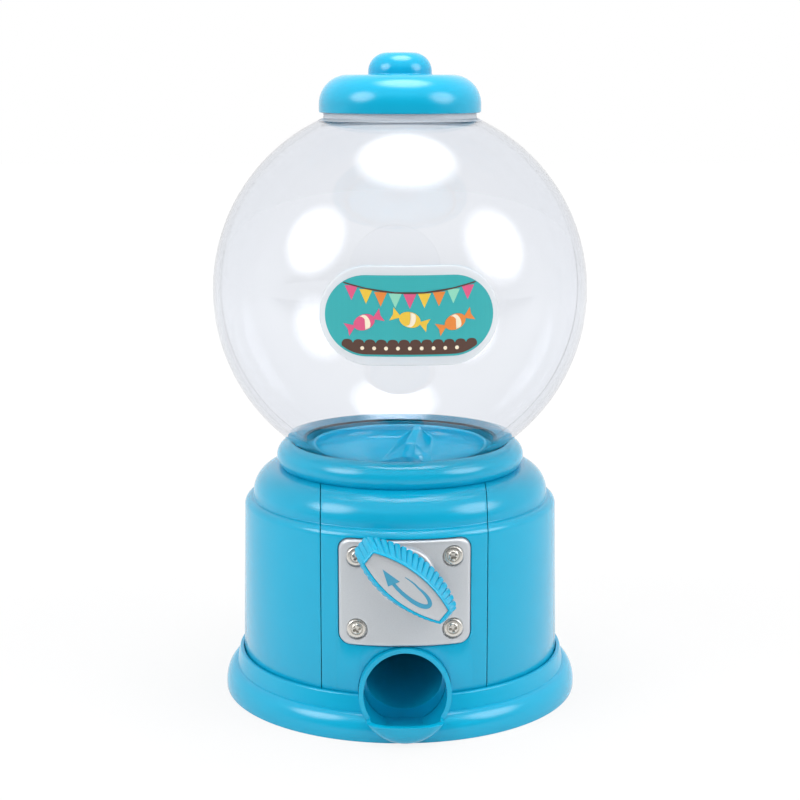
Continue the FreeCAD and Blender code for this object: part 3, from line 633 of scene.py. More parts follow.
def lathe(
    name: str, outline: list[Point], material: Material, steps: int, sweep: Point = (0.0, 360.0)
) -> Object:
    """Turn a closed outline about Z.

    Args:
        name: Name of the piece.
        outline: Closed loop of (radius, height) in millimetres.
        material: Material of the piece.
        steps: Spans round the turn.
        sweep: First and last angle in degrees; a part turn gets end faces.

    Returns:
        The turned piece.
    """
    bm = bmesh.new()
    whole = sweep[1] - sweep[0] >= 360
    rows = []
    for i in range(steps if whole else steps + 1):
        turn = math.radians(sweep[0] + (sweep[1] - sweep[0]) * i / steps)
        rows.append([bm.verts.new((r * math.cos(turn), r * math.sin(turn), z)) for r, z in outline])
    skin(bm, rows + rows[:1] if whole else rows)
    if not whole:
        bm.faces.new(rows[0])
        bm.faces.new(rows[-1])
    mend(bm)
    return soften(new_piece(name, bm, material))


def block(x: Point, y: Point, z: Point) -> Object:
    """Make a plain cutting block.

    Args:
        x: Its two ends along X, in millimetres.
        y: Its two ends along Y.
        z: Its two ends along Z.

    Returns:
        The block.
    """
    bm = bmesh.new()
    bmesh.ops.create_cube(bm, size=1.0)
    for vert in bm.verts:
        vert.co = [ends[0] if at < 0 else ends[1] for at, ends in zip(vert.co, (x, y, z))]
    return new_piece("tool_block", bm)


def add_bar(bm: BMesh, radius: float, y: Point, x: float, z: float, steps: int) -> None:
    """Add a round bar along Y to a mesh.

    Args:
        bm: Mesh that gets the bar.
        radius: Radius of the bar, in millimetres.
        y: Its two ends.
        x: Its place across.
        z: Its height.
        steps: Spans round it.
    """
    place = Matrix.Translation((x, (y[0] + y[1]) / 2, z)) @ Matrix.Rotation(math.pi / 2, 4, "X")
    bmesh.ops.create_cone(
        bm, cap_ends=True, segments=steps, radius1=radius, radius2=radius, depth=y[1] - y[0], matrix=place
    )


def bar(radius: float, y: Point, x: float, z: float, steps: int = 96) -> Object:
    """Make a round cutting bar along Y.

    Args:
        radius: Radius of the bar, in millimetres.
        y: Its two ends.
        x: Its place across.
        z: Its height.
        steps: Spans round it.

    Returns:
        The bar.
    """
    bm = bmesh.new()
    add_bar(bm, radius, y, x, z, steps)
    return new_piece("tool_bar", bm)


def bent_plate(
    name: str, outline: list[Point], middle: Point, outer: Surface, inner: Surface,
    material: Material, edge: float = 0.0, rings: int = 14,
) -> Object:
    """Make a closed plate between two surfaces that look along Y.

    Args:
        name: Name of the piece.
        outline: Closed convex outline in X and Z, in millimetres.
        middle: Middle of the outline.
        outer: Front surface, Y at an X and Z.
        inner: Back surface, Y at an X and Z.
        material: Material of the plate.
        edge: Rounding of the front edge.
        rings: Rings from the middle to the edge.

    Returns:
        The plate.
    """
    bm = bmesh.new()

    def ring(side: Surface, scale: float, drop: float = 0.0) -> list[BMVert]:
        """Return the outline's points on a side, drawn in towards the middle."""
        spots = [[m + (c - m) * scale for m, c in zip(middle, point)] for point in outline]
        return [bm.verts.new((x, side(x, z) + drop, z)) for x, z in spots]

    reach = max(max(abs(x - middle[0]), abs(z - middle[1])) for x, z in outline)
    small = 1 - edge / reach
    rows = [ring(outer, small * i / rings) for i in range(rings + 1)]
    for turn in (0.4, 0.8, 1.2, math.pi / 2):
        rows.append(ring(outer, small + (1 - small) * math.sin(turn), edge * (1 - math.cos(turn))))
    rows += [ring(inner, i / rings) for i in range(rings, -1, -1)]
    skin(bm, rows)
    mend(bm)
    return soften(new_piece(name, bm, material), angle=50)


def place_copies(
    name: str, template: Object, places: list[Matrix], material: Material
) -> Object:
    """Set copies of a template at places, with a geometry-node tree.

    Args:
        name: Name of the piece.
        template: Piece that is copied; it is used up.
        places: Place and turn of each copy, in metres.
        material: Material of all copies.

    Returns:
        One plain mesh that holds the copies.
    """
    points = bpy.data.meshes.new(name)
    points.from_pydata([place.translation for place in places], [], [])
    turns = points.attributes.new("turn", "FLOAT_VECTOR", "POINT")
    for item, place in zip(turns.data, places):
        item.vector = place.to_euler("XYZ")
    piece = bpy.data.objects.new(name, points)
    bpy.context.scene.collection.objects.link(piece)

    tree = bpy.data.node_groups.new("place copies", "GeometryNodeTree")
    for socket, kind in (("Places", "Geometry"), ("Template", "Object"), ("Finish", "Material")):
        tree.interface.new_socket(socket, in_out="INPUT", socket_type=f"NodeSocket{kind}")
    tree.interface.new_socket("Copies", in_out="OUTPUT", socket_type="NodeSocketGeometry")
    board = Board(tree)
    given = board.add("NodeGroupInput").outputs
    shape = board.add("GeometryNodeObjectInfo", {"Object": given["Template"]}, transform_space="ORIGINAL")
    turn = board.add("GeometryNodeInputNamedAttribute", {"Name": "turn"}, data_type="FLOAT_VECTOR")
    inputs = {
        "Points": given["Places"],
        "Instance": shape.outputs["Geometry"],
        "Rotation": turn.outputs["Attribute"],
    }
    copies = board.add("GeometryNodeInstanceOnPoints", inputs).outputs["Instances"]
    real = board.add("GeometryNodeRealizeInstances", {"Geometry": copies}).outputs["Geometry"]
    dressed = board.add("GeometryNodeSetMaterial", {"Geometry": real, "Material": given["Finish"]})
    board.add("NodeGroupOutput", {"Copies": dressed.outputs["Geometry"]})
    change = piece.modifiers.new("place copies", "NODES")
    change.node_group = tree
    sockets = {item.name: item.identifier for item in tree.interface.items_tree}
    change[sockets["Template"]] = template
    change[sockets["Finish"]] = material
    settle(piece)
    bpy.data.objects.remove(template)
    return soften(piece)


def dress(piece: Object, body: Body, slot: Slot, *nodes: str) -> None:
    """Tie a piece to its body and hide the CAD nodes it stands for.

    Args:
        piece: Finished piece.
        body: Body that the piece rides on.
        slot: Record slot of its finish; not used.
        *nodes: CAD nodes that it replaces.
    """
    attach(piece, body.value)
    if nodes:
        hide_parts(*nodes)
    LOG.info("%s: %d faces", piece.name, len(piece.data.polygons))


@dataclass
class Globe:
    """Clear globe in two halves, in millimetres."""

    palette: Palette
    wall: float = 1.6
    neck_r: float = 28.8
    flange_r: float = 30.3
    flange_t: float = 1.5
    mouth_r: float = 21.2
    mouth_round: float = 0.5
    neck_rise: float = 0.1
    neck_fade: float = 0.9
    pad_x: float = 0.9
    pad_w: float = 45.7
    pad_h: float = 25.4
    pad_edge: float = 0.5
    pad_proud: float = 0.15
    film_t: float = 0.2
    mark_r: float = 14.5
    mark_proud: float = 0.4
    weld_gap: float = 0.02
    weld_near: float = 0.001
    seat_rise: float = 0.05
    spans: int = 128
    steps: int = 176

    def __post_init__(self) -> None:
        """Read the globe's place from the frame."""
        low, high = node_box("globe_rear")
        self.radius = high.x
        self.foot_z = low.z
        self.mouth_z = high.z
        label_low, label_high = node_box("label")
        self.centre_z = (label_low.z + label_high.z) / 2
        self.film_r = -label_low.y
        self.pad_r = self.film_r - self.film_t
        self.neck_z = self.centre_z + math.sqrt(self.radius ** 2 - self.mouth_r ** 2) + self.neck_rise
        self.middle = (self.pad_x, self.centre_z)

    def ball(self, radius: float, first_r: float, last_r: float, sign: int) -> list[Point]:
        """Section of a ball round the globe's centre, from foot to mouth or back.

        Args:
            radius: Radius of the ball.
            first_r: Distance from the axis at which it starts.
            last_r: Distance from the axis at which it ends.
            sign: One upwards from the foot, minus one downwards from the mouth.

        Returns:
            The points.
        """
        start = -sign * math.degrees(math.acos(first_r / radius))
        end = sign * math.degrees(math.acos(last_r / radius))
        return arc((0.0, self.centre_z), (radius, radius), start, end, self.spans)

    def shell_outline(self) -> list[Point]:
        """Return the section of the globe's wall with its foot and filling neck."""
        neck_in = self.neck_r - self.wall
        mouth_in = self.mouth_r - self.wall
        flange_z = self.foot_z + self.flange_t
        foot = [(neck_in, self.foot_z), (self.flange_r, self.foot_z)]
        foot += [(self.flange_r, flange_z), (self.neck_r, flange_z)]
        bend = self.mouth_round
        turn = ((0.0, 1.0), (0.3, 0.24), (1.0, 0.0))
        lip = [(self.mouth_r - bend * a, self.mouth_z - bend * b) for a, b in turn]
        lip += [(mouth_in + bend * a, self.mouth_z - bend * b) for a, b in reversed(turn)]
        outer = self.ball(self.radius, self.neck_r, self.mouth_r, 1)
        return foot + outer + lip + self.ball(self.radius - self.wall, mouth_in, neck_in, -1)

    def skin_y(self, x: float, z: float, ball: float) -> float:
        """Y of the front of a ball round the globe's centre."""
        return -math.sqrt(max(1.0, ball ** 2 - x ** 2 - (z - self.centre_z) ** 2))

    def wrap_y(self, x: float, radius: float) -> float:
        """Y of the front of an upright cylinder round the axis."""
        return -math.sqrt(radius ** 2 - x ** 2)

    def build_halves(self) -> tuple[Object, Object]:
        """Make both halves with the label's pad and the round pad behind.

        Returns:
            The front and the rear half.
        """
        outline = self.shell_outline()
        clear = self.palette.clear
        core = self.radius - self.wall / 2
        front = lathe("globe_front_shell", outline, clear, self.steps, (180, 360))
        pad = bent_plate(
            "tool_pad", stadium(self.pad_w, self.pad_h, self.middle), self.middle,
            lambda x, z: self.wrap_y(x, self.pad_r), lambda x, z: self.skin_y(x, z, core),
            clear, self.pad_edge,
        )
        carve(front, pad, "UNION")
        rear = lathe("globe_rear_shell", outline, clear, self.steps, (0, 180))
        centre = (0, self.centre_z)
        proud = self.radius + self.mark_proud
        mark = bent_plate(
            "tool_mark", disc(centre, (self.mark_r, self.mark_r), steps=72), centre,
            lambda x, z: -self.skin_y(x, z, proud), lambda x, z: -self.skin_y(x, z, core),
            clear,
        )
        carve(rear, mark, "UNION")
        return front, rear

    def tint_ends(self, half: Object) -> None:
        """Make a half's neck cloudy, and colour its hidden foot like its seat.

        Args:
            half: Half of the globe.
        """
        half.data.materials.append(self.palette.neck)
        half.data.materials.append(self.palette.abs)
        seat = len(half.data.materials) - 1
        for face in half.data.polygons:
            x, y, z = face.center / MM
            outside = math.hypot(x, y) > self.mouth_r - self.wall / 2
            if z > self.neck_z - self.neck_fade * outside:
                face.material_index = seat - 1
            elif z < self.foot_z + self.flange_t + self.seat_rise:
                face.material_index = seat

    def build(self) -> None:
        """Make the two halves with their finishes and the thin gap at their weld."""
        front, rear = self.build_halves()
        front.data.materials.append(self.palette.frosted)
        centre = Vector((0, 0, self.centre_z))
        for half, sign in ((front, -1), (rear, 1)):
            self.tint_ends(half)
            for vert in half.data.vertices:
                if abs(vert.co.y) < self.weld_near * MM:
                    vert.co.y = sign * self.weld_gap * MM
        for face in front.data.polygons:
            spot = face.center / MM - centre
            if spot.y < 0 and spot.length > self.radius + self.pad_proud and abs(spot.z) < self.pad_h:
                face.material_index = 1
        dress(soften(front, angle=40), Body.MACHINE, Slot.CLEAR, "globe_front")
        dress(soften(rear, angle=40), Body.MACHINE, Slot.CLEAR, "globe_rear")


@dataclass
class Base:
    """Drum, shoulder, collar and foot of the machine, in millimetres."""

    palette: Palette
    edge: float = 2.5
    shoulder_h: float = 8.8
    shoulder_round: float = 8.0
    rim_w: float = 0.1
    rim_round: float = 0.15
    step_round: float = 0.35
    inner_round: float = 0.4
    wall: float = 2.0
    draft: float = 0.019
    lowered: float = 0.5
    outlet_gap: float = 0.1
    outlet_back: float = -20.0
    seam_gap: float = 0.22
    seam_round: float = 0.22
    seam_shift: float = 0.6
    panel_back: float = -5.0
    plinth_lowered: float = 1.1
    plinth_wall: float = 2.0
    plinth_hollow: float = 3.4
    lip_gap: float = 0.15
    lip_w: float = 1.05
    lip_round: Point = (0.45, 0.15)
    band_w: float = 1.9
    band_h: float = 4.4
    band_foot: Point = (0.05, 0.15)
    foot_upright: float = 1.4
    toe: tuple[Point, ...] = ((0.4, 0.0), (0.1, 0.12), (0.0, 0.4))
    ledge_w: float = 3.6
    ledge_t: float = 1.8
    bulge: Point = (4.15, 4.1)
    bulge_z: float = 2.75
    bulge_turn: Point = (-41.0, 78.0)
    collar_foot: float = 1.5
    collar_gap: float = 0.3
    collar_lip: float = 0.5
    flange_gap: float = 0.15
    steps: int = 240

    def __post_init__(self) -> None:
        """Read the places of the base's nodes from the frame."""
        panel_low, panel_high = node_box("front_panel")
        rear_high = node_box("rear_housing")[1]
        self.seat_z = panel_low.z
        self.panel_x = panel_high.x + self.seam_shift
        self.foot_r = rear_high.x
        self.top_z = rear_high.z - self.lowered
        self.drum_top_z = self.top_z - self.shoulder_h
        self.side_top_z = self.drum_top_z - self.edge
        self.drum_r = self.foot_r - (self.side_top_z - self.seat_z) * self.draft

    def side_r(self, z: float) -> float:
        """Radius of the drum's side at a height."""
        return self.drum_r + (self.side_top_z - z) * self.draft

    def shell_outline(self) -> list[Point]:
        """Return the section of the drum and shoulder wall."""
        shoulder_r = self.drum_r - self.edge
        rim_r = shoulder_r - self.shoulder_round - self.rim_w
        wall = self.wall
        corners = [
            (self.foot_r, self.seat_z, 0.0),
            (self.side_r(self.drum_top_z), self.drum_top_z, self.edge - self.rim_w),
            (shoulder_r, self.drum_top_z, self.step_round),
            (shoulder_r, self.top_z, self.shoulder_round),
            (rim_r, self.top_z, self.rim_round),
            (rim_r, self.top_z - wall, 0.0),
            (shoulder_r - wall, self.top_z - wall, self.shoulder_round - wall),
            (shoulder_r - wall, self.side_top_z, self.inner_round),
            (self.drum_r - wall, self.side_top_z, self.inner_round),
            (self.foot_r - wall, self.seat_z, 0.0),
        ]
        return rounded(corners, steps=12)

    def outlet_bore(self) -> Object:
        """Return the cutter for the outlet's way through the front."""
        return bar(OUTLET_R + self.outlet_gap, (-FAR, self.outlet_back), 0, OUTLET_Z)

    def build_drum(self, plate: "FacePlate") -> None:
        """Make the rear housing and the front panel with their seams.

        Args:
            plate: Face plate, which lies in a shallow seat of the panel.
        """
        outline = self.shell_outline()
        rear = lathe("rear_housing_shell", outline, self.palette.abs, self.steps)
        half = self.panel_x + self.seam_gap
        carve(rear, block((-half, half), (-FAR, 0), (-FAR, FAR)))
        panel = lathe("front_panel_shell", outline, self.palette.abs, self.steps)
        keep = block((-self.panel_x, self.panel_x), (-FAR, self.panel_back), (-FAR, FAR))
        carve(panel, keep, "INTERSECT")
        carve(panel, self.outlet_bore())
        carve(panel, plate.groove())
        for piece, node in ((rear, "rear_housing"), (panel, "front_panel")):
            edge_round(piece, self.seam_round, angle=60)
            dress(soften(piece), Body.MACHINE, Slot.ABS, node)

    def build_plinth(self) -> None:
        """Make the stepped foot ring with its notch for the spout."""
        low, high = node_box("plinth")
        radius = high.y
        inner = radius - self.plinth_wall
        top_z = high.z - self.plinth_lowered
        band_z = top_z - self.band_h
        lip_r = self.foot_r + self.lip_gap
        band_r = lip_r + self.band_w
        ledge_r = self.foot_r - self.ledge_w
        ledge_z = self.seat_z - self.ledge_t
        outline = [(inner, low.z)] + [(radius - a, low.z + b) for a, b in self.toe]
        size = (radius - band_r, band_z - self.foot_upright)
        outline += arc((band_r, self.foot_upright), size, 0, 90, steps=18)
        corners = [
            (band_r - self.band_foot[0], band_z + self.band_foot[1], 0.0),
            (lip_r + self.lip_w, top_z, self.lip_round[0]),
            (lip_r, top_z, self.lip_round[1]),
            (lip_r, self.seat_z, 0.0),
            (ledge_r, self.seat_z, 0.0),
            (ledge_r, ledge_z, 0.0),
            (lip_r, ledge_z, 0.0),
            (inner, low.z + self.plinth_hollow, 0.0),
        ]
        ring = lathe("plinth_ring", outline + rounded(corners, steps=4), self.palette.abs, self.steps)
        carve(ring, self.outlet_bore())
        dress(soften(ring), Body.MACHINE, Slot.ABS, "plinth")

    def build_collar(self, globe: Globe) -> None:
        """Make the half-round ring that holds the globe.

        Args:
            globe: Globe, which sits in the ring's saddle.
        """
        low, high = node_box("collar")
        low_z, high_z = low.z - self.lowered, high.z - self.lowered
        ledge_z = low_z + globe.flange_t
        bore = globe.neck_r + self.collar_gap
        flange = globe.flange_r + self.flange_gap
        cut_r = globe.radius + self.collar_gap
        top_r = math.sqrt(cut_r ** 2 - (globe.centre_z - high_z) ** 2)
        belly = (high.x - self.bulge[0], low_z + self.bulge_z)
        outline = [(high.x - self.collar_foot, low_z)] + arc(belly, self.bulge, *self.bulge_turn, steps=18)
        outline.append((top_r + self.collar_lip, high_z))
        turns = [math.degrees(math.asin(r / cut_r)) - 90 for r in (top_r, bore)]
        outline += arc((0, globe.centre_z), (cut_r, cut_r), *turns, steps=8)
        outline += [(bore, ledge_z), (flange, ledge_z), (flange, low_z)]
        ring = lathe("collar_ring", outline, self.palette.abs, steps=224)
        dress(ring, Body.MACHINE, Slot.ABS, "collar")


@dataclass
class Label:
    """Printed film on the globe's pad: bunting, wrapped sweets and a hem.

    Places are in millimetres from the middle of the film. Later layers of
    ink lie on earlier ones.
    """

    palette: Palette
    globe: Globe
    width: float = 42.8
    height: float = 20.6
    air: float = 0.05
    ink_t: float = 0.035
    longest: float = 1.6
    flags: int = 9
    flag_w: float = 3.3
    flag_h: float = 3.7
    bunting_w: float = 33.0
    cord_end: float = 16.7
    cord_z: float = 5.6
    cord_sag: float = 2.6
    cord_rise: float = 0.55
    cord_t: float = 0.35
    sweet_w: float = 5.6
    sweet_h: float = 3.9
    sweet_z: float = -1.6
    sweet_lift: float = 0.7
    sweet_x: float = 11.5
    wing: tuple[Point, ...] = ((0.8, 0.0), (1.75, 0.9), (1.6, 0.0), (1.75, -0.9))
    stripe: Point = (0.35, 0.92)
    stripe_w: float = 0.5
    scallops: int = 12
    scallop_h: float = 0.95
    scallop_spans: int = 8
    hem_z: float = -6.9
    hem_reach: float = 17.2
    hem_margin: float = 0.5
    dots: int = 9
    dot_r: float = 0.5
    dot_step: float = 3.0
    dot_z: float = -8.2

    def patch(self, bm: BMesh, outline: list[Point], ink: Ink, layer: int) -> None:
        """Lay one printed shape on the film.

        Args:
            bm: Mesh that gets the shape.
            outline: Closed outline.
            ink: Ink of the shape.
            layer: Printing order.
        """
        flat = bmesh.new()
        flat.faces.new([flat.verts.new((x + self.globe.pad_x, 0, z)) for x, z in outline])
        bmesh.ops.triangulate(flat, faces=flat.faces)
        for _ in range(3):
            long = [edge for edge in flat.edges if edge.calc_length() > self.longest]
            if long:
                bmesh.ops.subdivide_edges(flat, edges=long, cuts=1)
                bmesh.ops.triangulate(flat, faces=flat.faces)
        flat.verts.index_update()
        top = self.globe.film_r + self.ink_t * layer
        spots = [(v.co.x, self.globe.wrap_y(v.co.x, top), v.co.z + self.globe.centre_z) for v in flat.verts]
        verts = [bm.verts.new(spot) for spot in spots]
        for face in flat.faces:
            new = bm.faces.new([verts[v.index] for v in face.verts])
            new.material_index = ink
            new.normal_update()
            if new.normal.y > 0:
                new.normal_flip()
        flat.free()

    def bunting(self, bm: BMesh) -> None:
        """Print the cord and its row of flags.

        Args:
            bm: Mesh of the print.
        """
        knots = []
        for i in range(self.flags):
            share = 2 * (i + 0.5) / self.flags - 1
            knots.append((share * self.bunting_w / 2, self.cord_z + self.cord_sag * share ** 2))
        end_z = knots[0][1] + self.cord_rise
        cord = [(-self.cord_end, end_z)] + knots + [(self.cord_end, end_z)]
        self.patch(bm, cord + [(x, z + self.cord_t) for x, z in reversed(cord)], Ink.BROWN, 2)
        half = self.flag_w / 2
        for i, (x, z) in enumerate(knots):
            ink = (Ink.PINK, Ink.YELLOW, Ink.ORANGE, Ink.MINT)[i % 4]
            self.patch(bm, [(x - half, z), (x, z - self.flag_h), (x + half, z)], ink, 1)

    def sweet(self, bm: BMesh, x: float, z: float, ink: Ink, lean: float) -> None:
        """Print one wrapped sweet with twisted ends and a pale stripe.

        Args:
            bm: Mesh of the print.
            x: Middle of the sweet.
            z: Height of the sweet.
            ink: Ink of the wrapper.
            lean: Turn of the sweet in degrees.
        """
        w, h = self.sweet_w / 2, self.sweet_h / 2
        turn = Matrix.Rotation(math.radians(lean), 2)

        def spot(points: list[Point]) -> list[Point]:
            """Turn points and move them to the sweet."""
            moved = [turn @ Vector(p) for p in points]
            return [(p.x + x, p.y + z) for p in moved]

        for side in (-1, 1):
            self.patch(bm, spot([(side * (w * a), h * b) for a, b in self.wing]), ink, 2)
        self.patch(bm, spot(disc((0, 0), (w, h), steps=28)), ink, 3)
        size = (w * self.stripe[0], h * self.stripe[1])
        band = arc((self.stripe_w, 0), size, -90, 90, steps=10)
        band += arc((-self.stripe_w, 0), size, 90, -90, steps=10)
        self.patch(bm, spot(band), Ink.CREAM, 4)

    def hem(self, bm: BMesh) -> None:
        """Print the scalloped hem, as narrow strips, and its row of dots.

        Args:
            bm: Mesh of the print.
        """
        half = (self.width - self.height) / 2
        rim = self.height / 2 - self.hem_margin
        count = self.scallops * self.scallop_spans
        edge = []
        for i in range(count + 1):
            x = self.hem_reach * (2 * i / count - 1)
            phase = 2 * (i % self.scallop_spans) / self.scallop_spans - 1
            low = -math.sqrt(rim ** 2 - max(0.0, abs(x) - half) ** 2)
            edge.append((x, low, self.hem_z + self.scallop_h * math.sqrt(1 - phase ** 2)))
        for (x0, low0, top0), (x1, low1, top1) in zip(edge[:-1], edge[1:]):
            self.patch(bm, [(x0, low0), (x1, low1), (x1, top1), (x0, top0)], Ink.BROWN, 1)
        for i in range(self.dots):
            x = self.dot_step * (i - (self.dots - 1) / 2)
            self.patch(bm, disc((x, self.dot_z), (self.dot_r, self.dot_r), steps=12), Ink.CREAM, 2)

    def build(self) -> None:
        """Make the film and its print as one piece."""
        globe = self.globe
        film = bent_plate(
            "label_print", stadium(self.width, self.height, globe.middle), globe.middle,
            lambda x, z: globe.wrap_y(x, globe.film_r), lambda x, z: globe.wrap_y(x, globe.pad_r + self.air),
            self.palette.inks[Ink.TEAL],
        )
        for ink in self.palette.inks[Ink.TEAL + 1:]:
            film.data.materials.append(ink)
        bm = bmesh.new()
        self.bunting(bm)
        self.sweet(bm, -self.sweet_x, self.sweet_z, Ink.PINK, lean=24)
        self.sweet(bm, 0, self.sweet_z + self.sweet_lift, Ink.YELLOW, lean=-18)
        self.sweet(bm, self.sweet_x, self.sweet_z, Ink.ORANGE, lean=24)
        self.hem(bm)
        bmesh.ops.scale(bm, vec=(MM, MM, MM), verts=bm.verts)
        bm.from_mesh(film.data)
        bm.to_mesh(film.data)
        bm.free()
        dress(soften(film, angle=50), Body.MACHINE, Slot.FILM, "label")


@dataclass
class Hopper:
    """Rimmed bowl under the globe with a ridge towards its throat, in millimetres."""

    palette: Palette
    radius: float = 25.7
    shelf_r: float = 27.05
    flange_r: float = 33.6
    flange_t: float = 1.6
    wall: float = 1.4
    rim_rise: float = 4.95
    drop: float = 9.65
    knee_in: float = 0.2
    knee_drop: float = 3.2
    knee_round: float = 3.4
    funnel_w: float = 3.0
    funnel_h: float = 1.0
    funnel_round: float = 3.0
    throat_r: float = 7.0
    throat_h: float = 5.0
    throat_drop: float = 0.5
    throat_round: float = 0.6
    skirt_in: float = 1.0
    span: float = 5 / 9
    ridge_turn: float = 15.0
    ridge_h: float = 3.8
    crest: Point = (0.7, 1.3)
    flank: Point = (3.6, 3.0)
    hollow: float = 1.3
    bare: Point = (0.15, 0.3)
    fade: Point = (1.6, 6.5)
    floor_slack: float = 0.2

    def __post_init__(self) -> None:
        """Read the bowl's place from the frame."""
        self.rim_z = node_box("hopper")[1].z
        self.throat_z = self.rim_z - self.drop
        self.bowl_r = self.radius - self.wall

    def outline(self) -> list[Point]:
        """Return the section of the bowl with its rim, throat and flange."""
        base_z = self.rim_z - self.rim_rise
        sleeve = self.throat_r + self.wall
        shelf_z = self.rim_z - self.wall
        half = self.wall / 2
        corners = [
            (self.bowl_r, self.rim_z, 0.0),
            (self.bowl_r - self.knee_in, self.rim_z - self.knee_drop, self.knee_round),
            (self.throat_r + self.funnel_w, self.throat_z + self.funnel_h, self.funnel_round),
            (self.throat_r, self.throat_z - self.throat_drop, self.throat_round),
        ]
        dish = rounded(corners, steps=10)
        rim = arc((self.radius - half, self.rim_z - half), (half, half), 0, 180, steps=10)
        return rim + [(self.bowl_r, self.rim_z - half)] + densified(dish[1:], self.span) + [
            (self.throat_r, self.throat_z - self.throat_h),
            (sleeve, self.throat_z - self.throat_h),
            (sleeve, self.throat_z - self.wall),
            (self.radius - self.skirt_in, base_z - self.flange_t),
            (self.flange_r, base_z - self.flange_t),
            (self.flange_r, base_z),
            (self.shelf_r, base_z),
            (self.shelf_r, shelf_z),
            (self.radius, shelf_z),
        ]

    def ridge(self, x: float, y: float) -> float:
        """Height of the tent-shaped ridge over the bowl's floor.

        Args:
            x: Place across.
            y: Place from front to back.

        Returns:
            The rise, nought outside the ridge.
        """
        turn = math.radians(self.ridge_turn)
        forward = math.sin(turn) * x + math.cos(turn) * y
        aside = abs(math.cos(turn) * x - math.sin(turn) * y)
        r = math.hypot(x, y)
        from_rim = self.bowl_r - self.bare[0] - r
        from_throat = r - self.throat_r - self.bare[1]
        if forward <= 0 or from_rim < 0 or from_throat < 0:
            return 0.0
        reach = (self.bowl_r - r) / (self.bowl_r - self.throat_r)
        slope = (aside - self.crest[0] - self.crest[1] * reach) / (self.flank[0] + self.flank[1] * reach)
        flare = (1 - min(1.0, max(0.0, slope))) ** self.hollow
        return self.ridge_h * flare * min(1.0, from_rim / self.fade[0]) * min(1.0, from_throat / self.fade[1])

    def build(self) -> None:
        """Make the bowl as a turned shell and raise its ridge from the upper side."""
        bowl = lathe("hopper_bowl", self.outline(), self.palette.abs, steps=288)
        for vert in bowl.data.vertices:
            x, y, z = vert.co / MM
            if z >= self.throat_z - self.floor_slack:
                vert.co.z += self.ridge(x, y) * MM
        dress(soften(bowl, angle=50), Body.MACHINE, Slot.ABS, "hopper")


@dataclass
class Lid:
    """Lift-off cap with a round finial, in millimetres."""

    palette: Palette
    finial_r: float = 8.8
    finial_h: float = 6.0
    finial_round: float = 5.2
    finial_foot: float = 0.4
    crown: float = 1.8
    crown_round: float = 2.6
    round_top: float = 8.0
    hem_round: float = 0.5
    wall: float = 1.6
    hollow_r: float = 14.4
    hollow_round: float = 1.5
    seat_r: float = 19.4
    seat_rise: float = 3.6
    seat_round: float = 0.3
    skirt_r: float = 21.45
    skirt_round: Point = (0.2, 0.35)

    def build(self) -> None:
        """Make the cap as a turned shell."""
        low, high = node_box("lid")
        top = high.z - self.finial_h
        seat = low.z + self.seat_rise
        crown = high.z - self.crown
        inner = self.finial_r - self.wall
        corners = [
            (high.x, low.z, self.hem_round),
            (high.x, top, self.round_top),
            (self.finial_r, top, self.finial_foot),
            (self.finial_r, high.z, self.finial_round),
            (0, high.z, 0),
            (0, crown, 0),
            (inner, crown, self.crown_round),
            (inner, top - self.wall, self.finial_foot),
            (self.hollow_r, top - self.wall, self.hollow_round),
            (self.seat_r, seat, self.seat_round),
            (self.skirt_r, seat, self.skirt_round[0]),
            (self.skirt_r, low.z, self.skirt_round[1]),
        ]
        cap = lathe("lid_cap", rounded(corners, steps=14), self.palette.abs, steps=192)
        dress(cap, Body.LID, Slot.ABS, "lid")


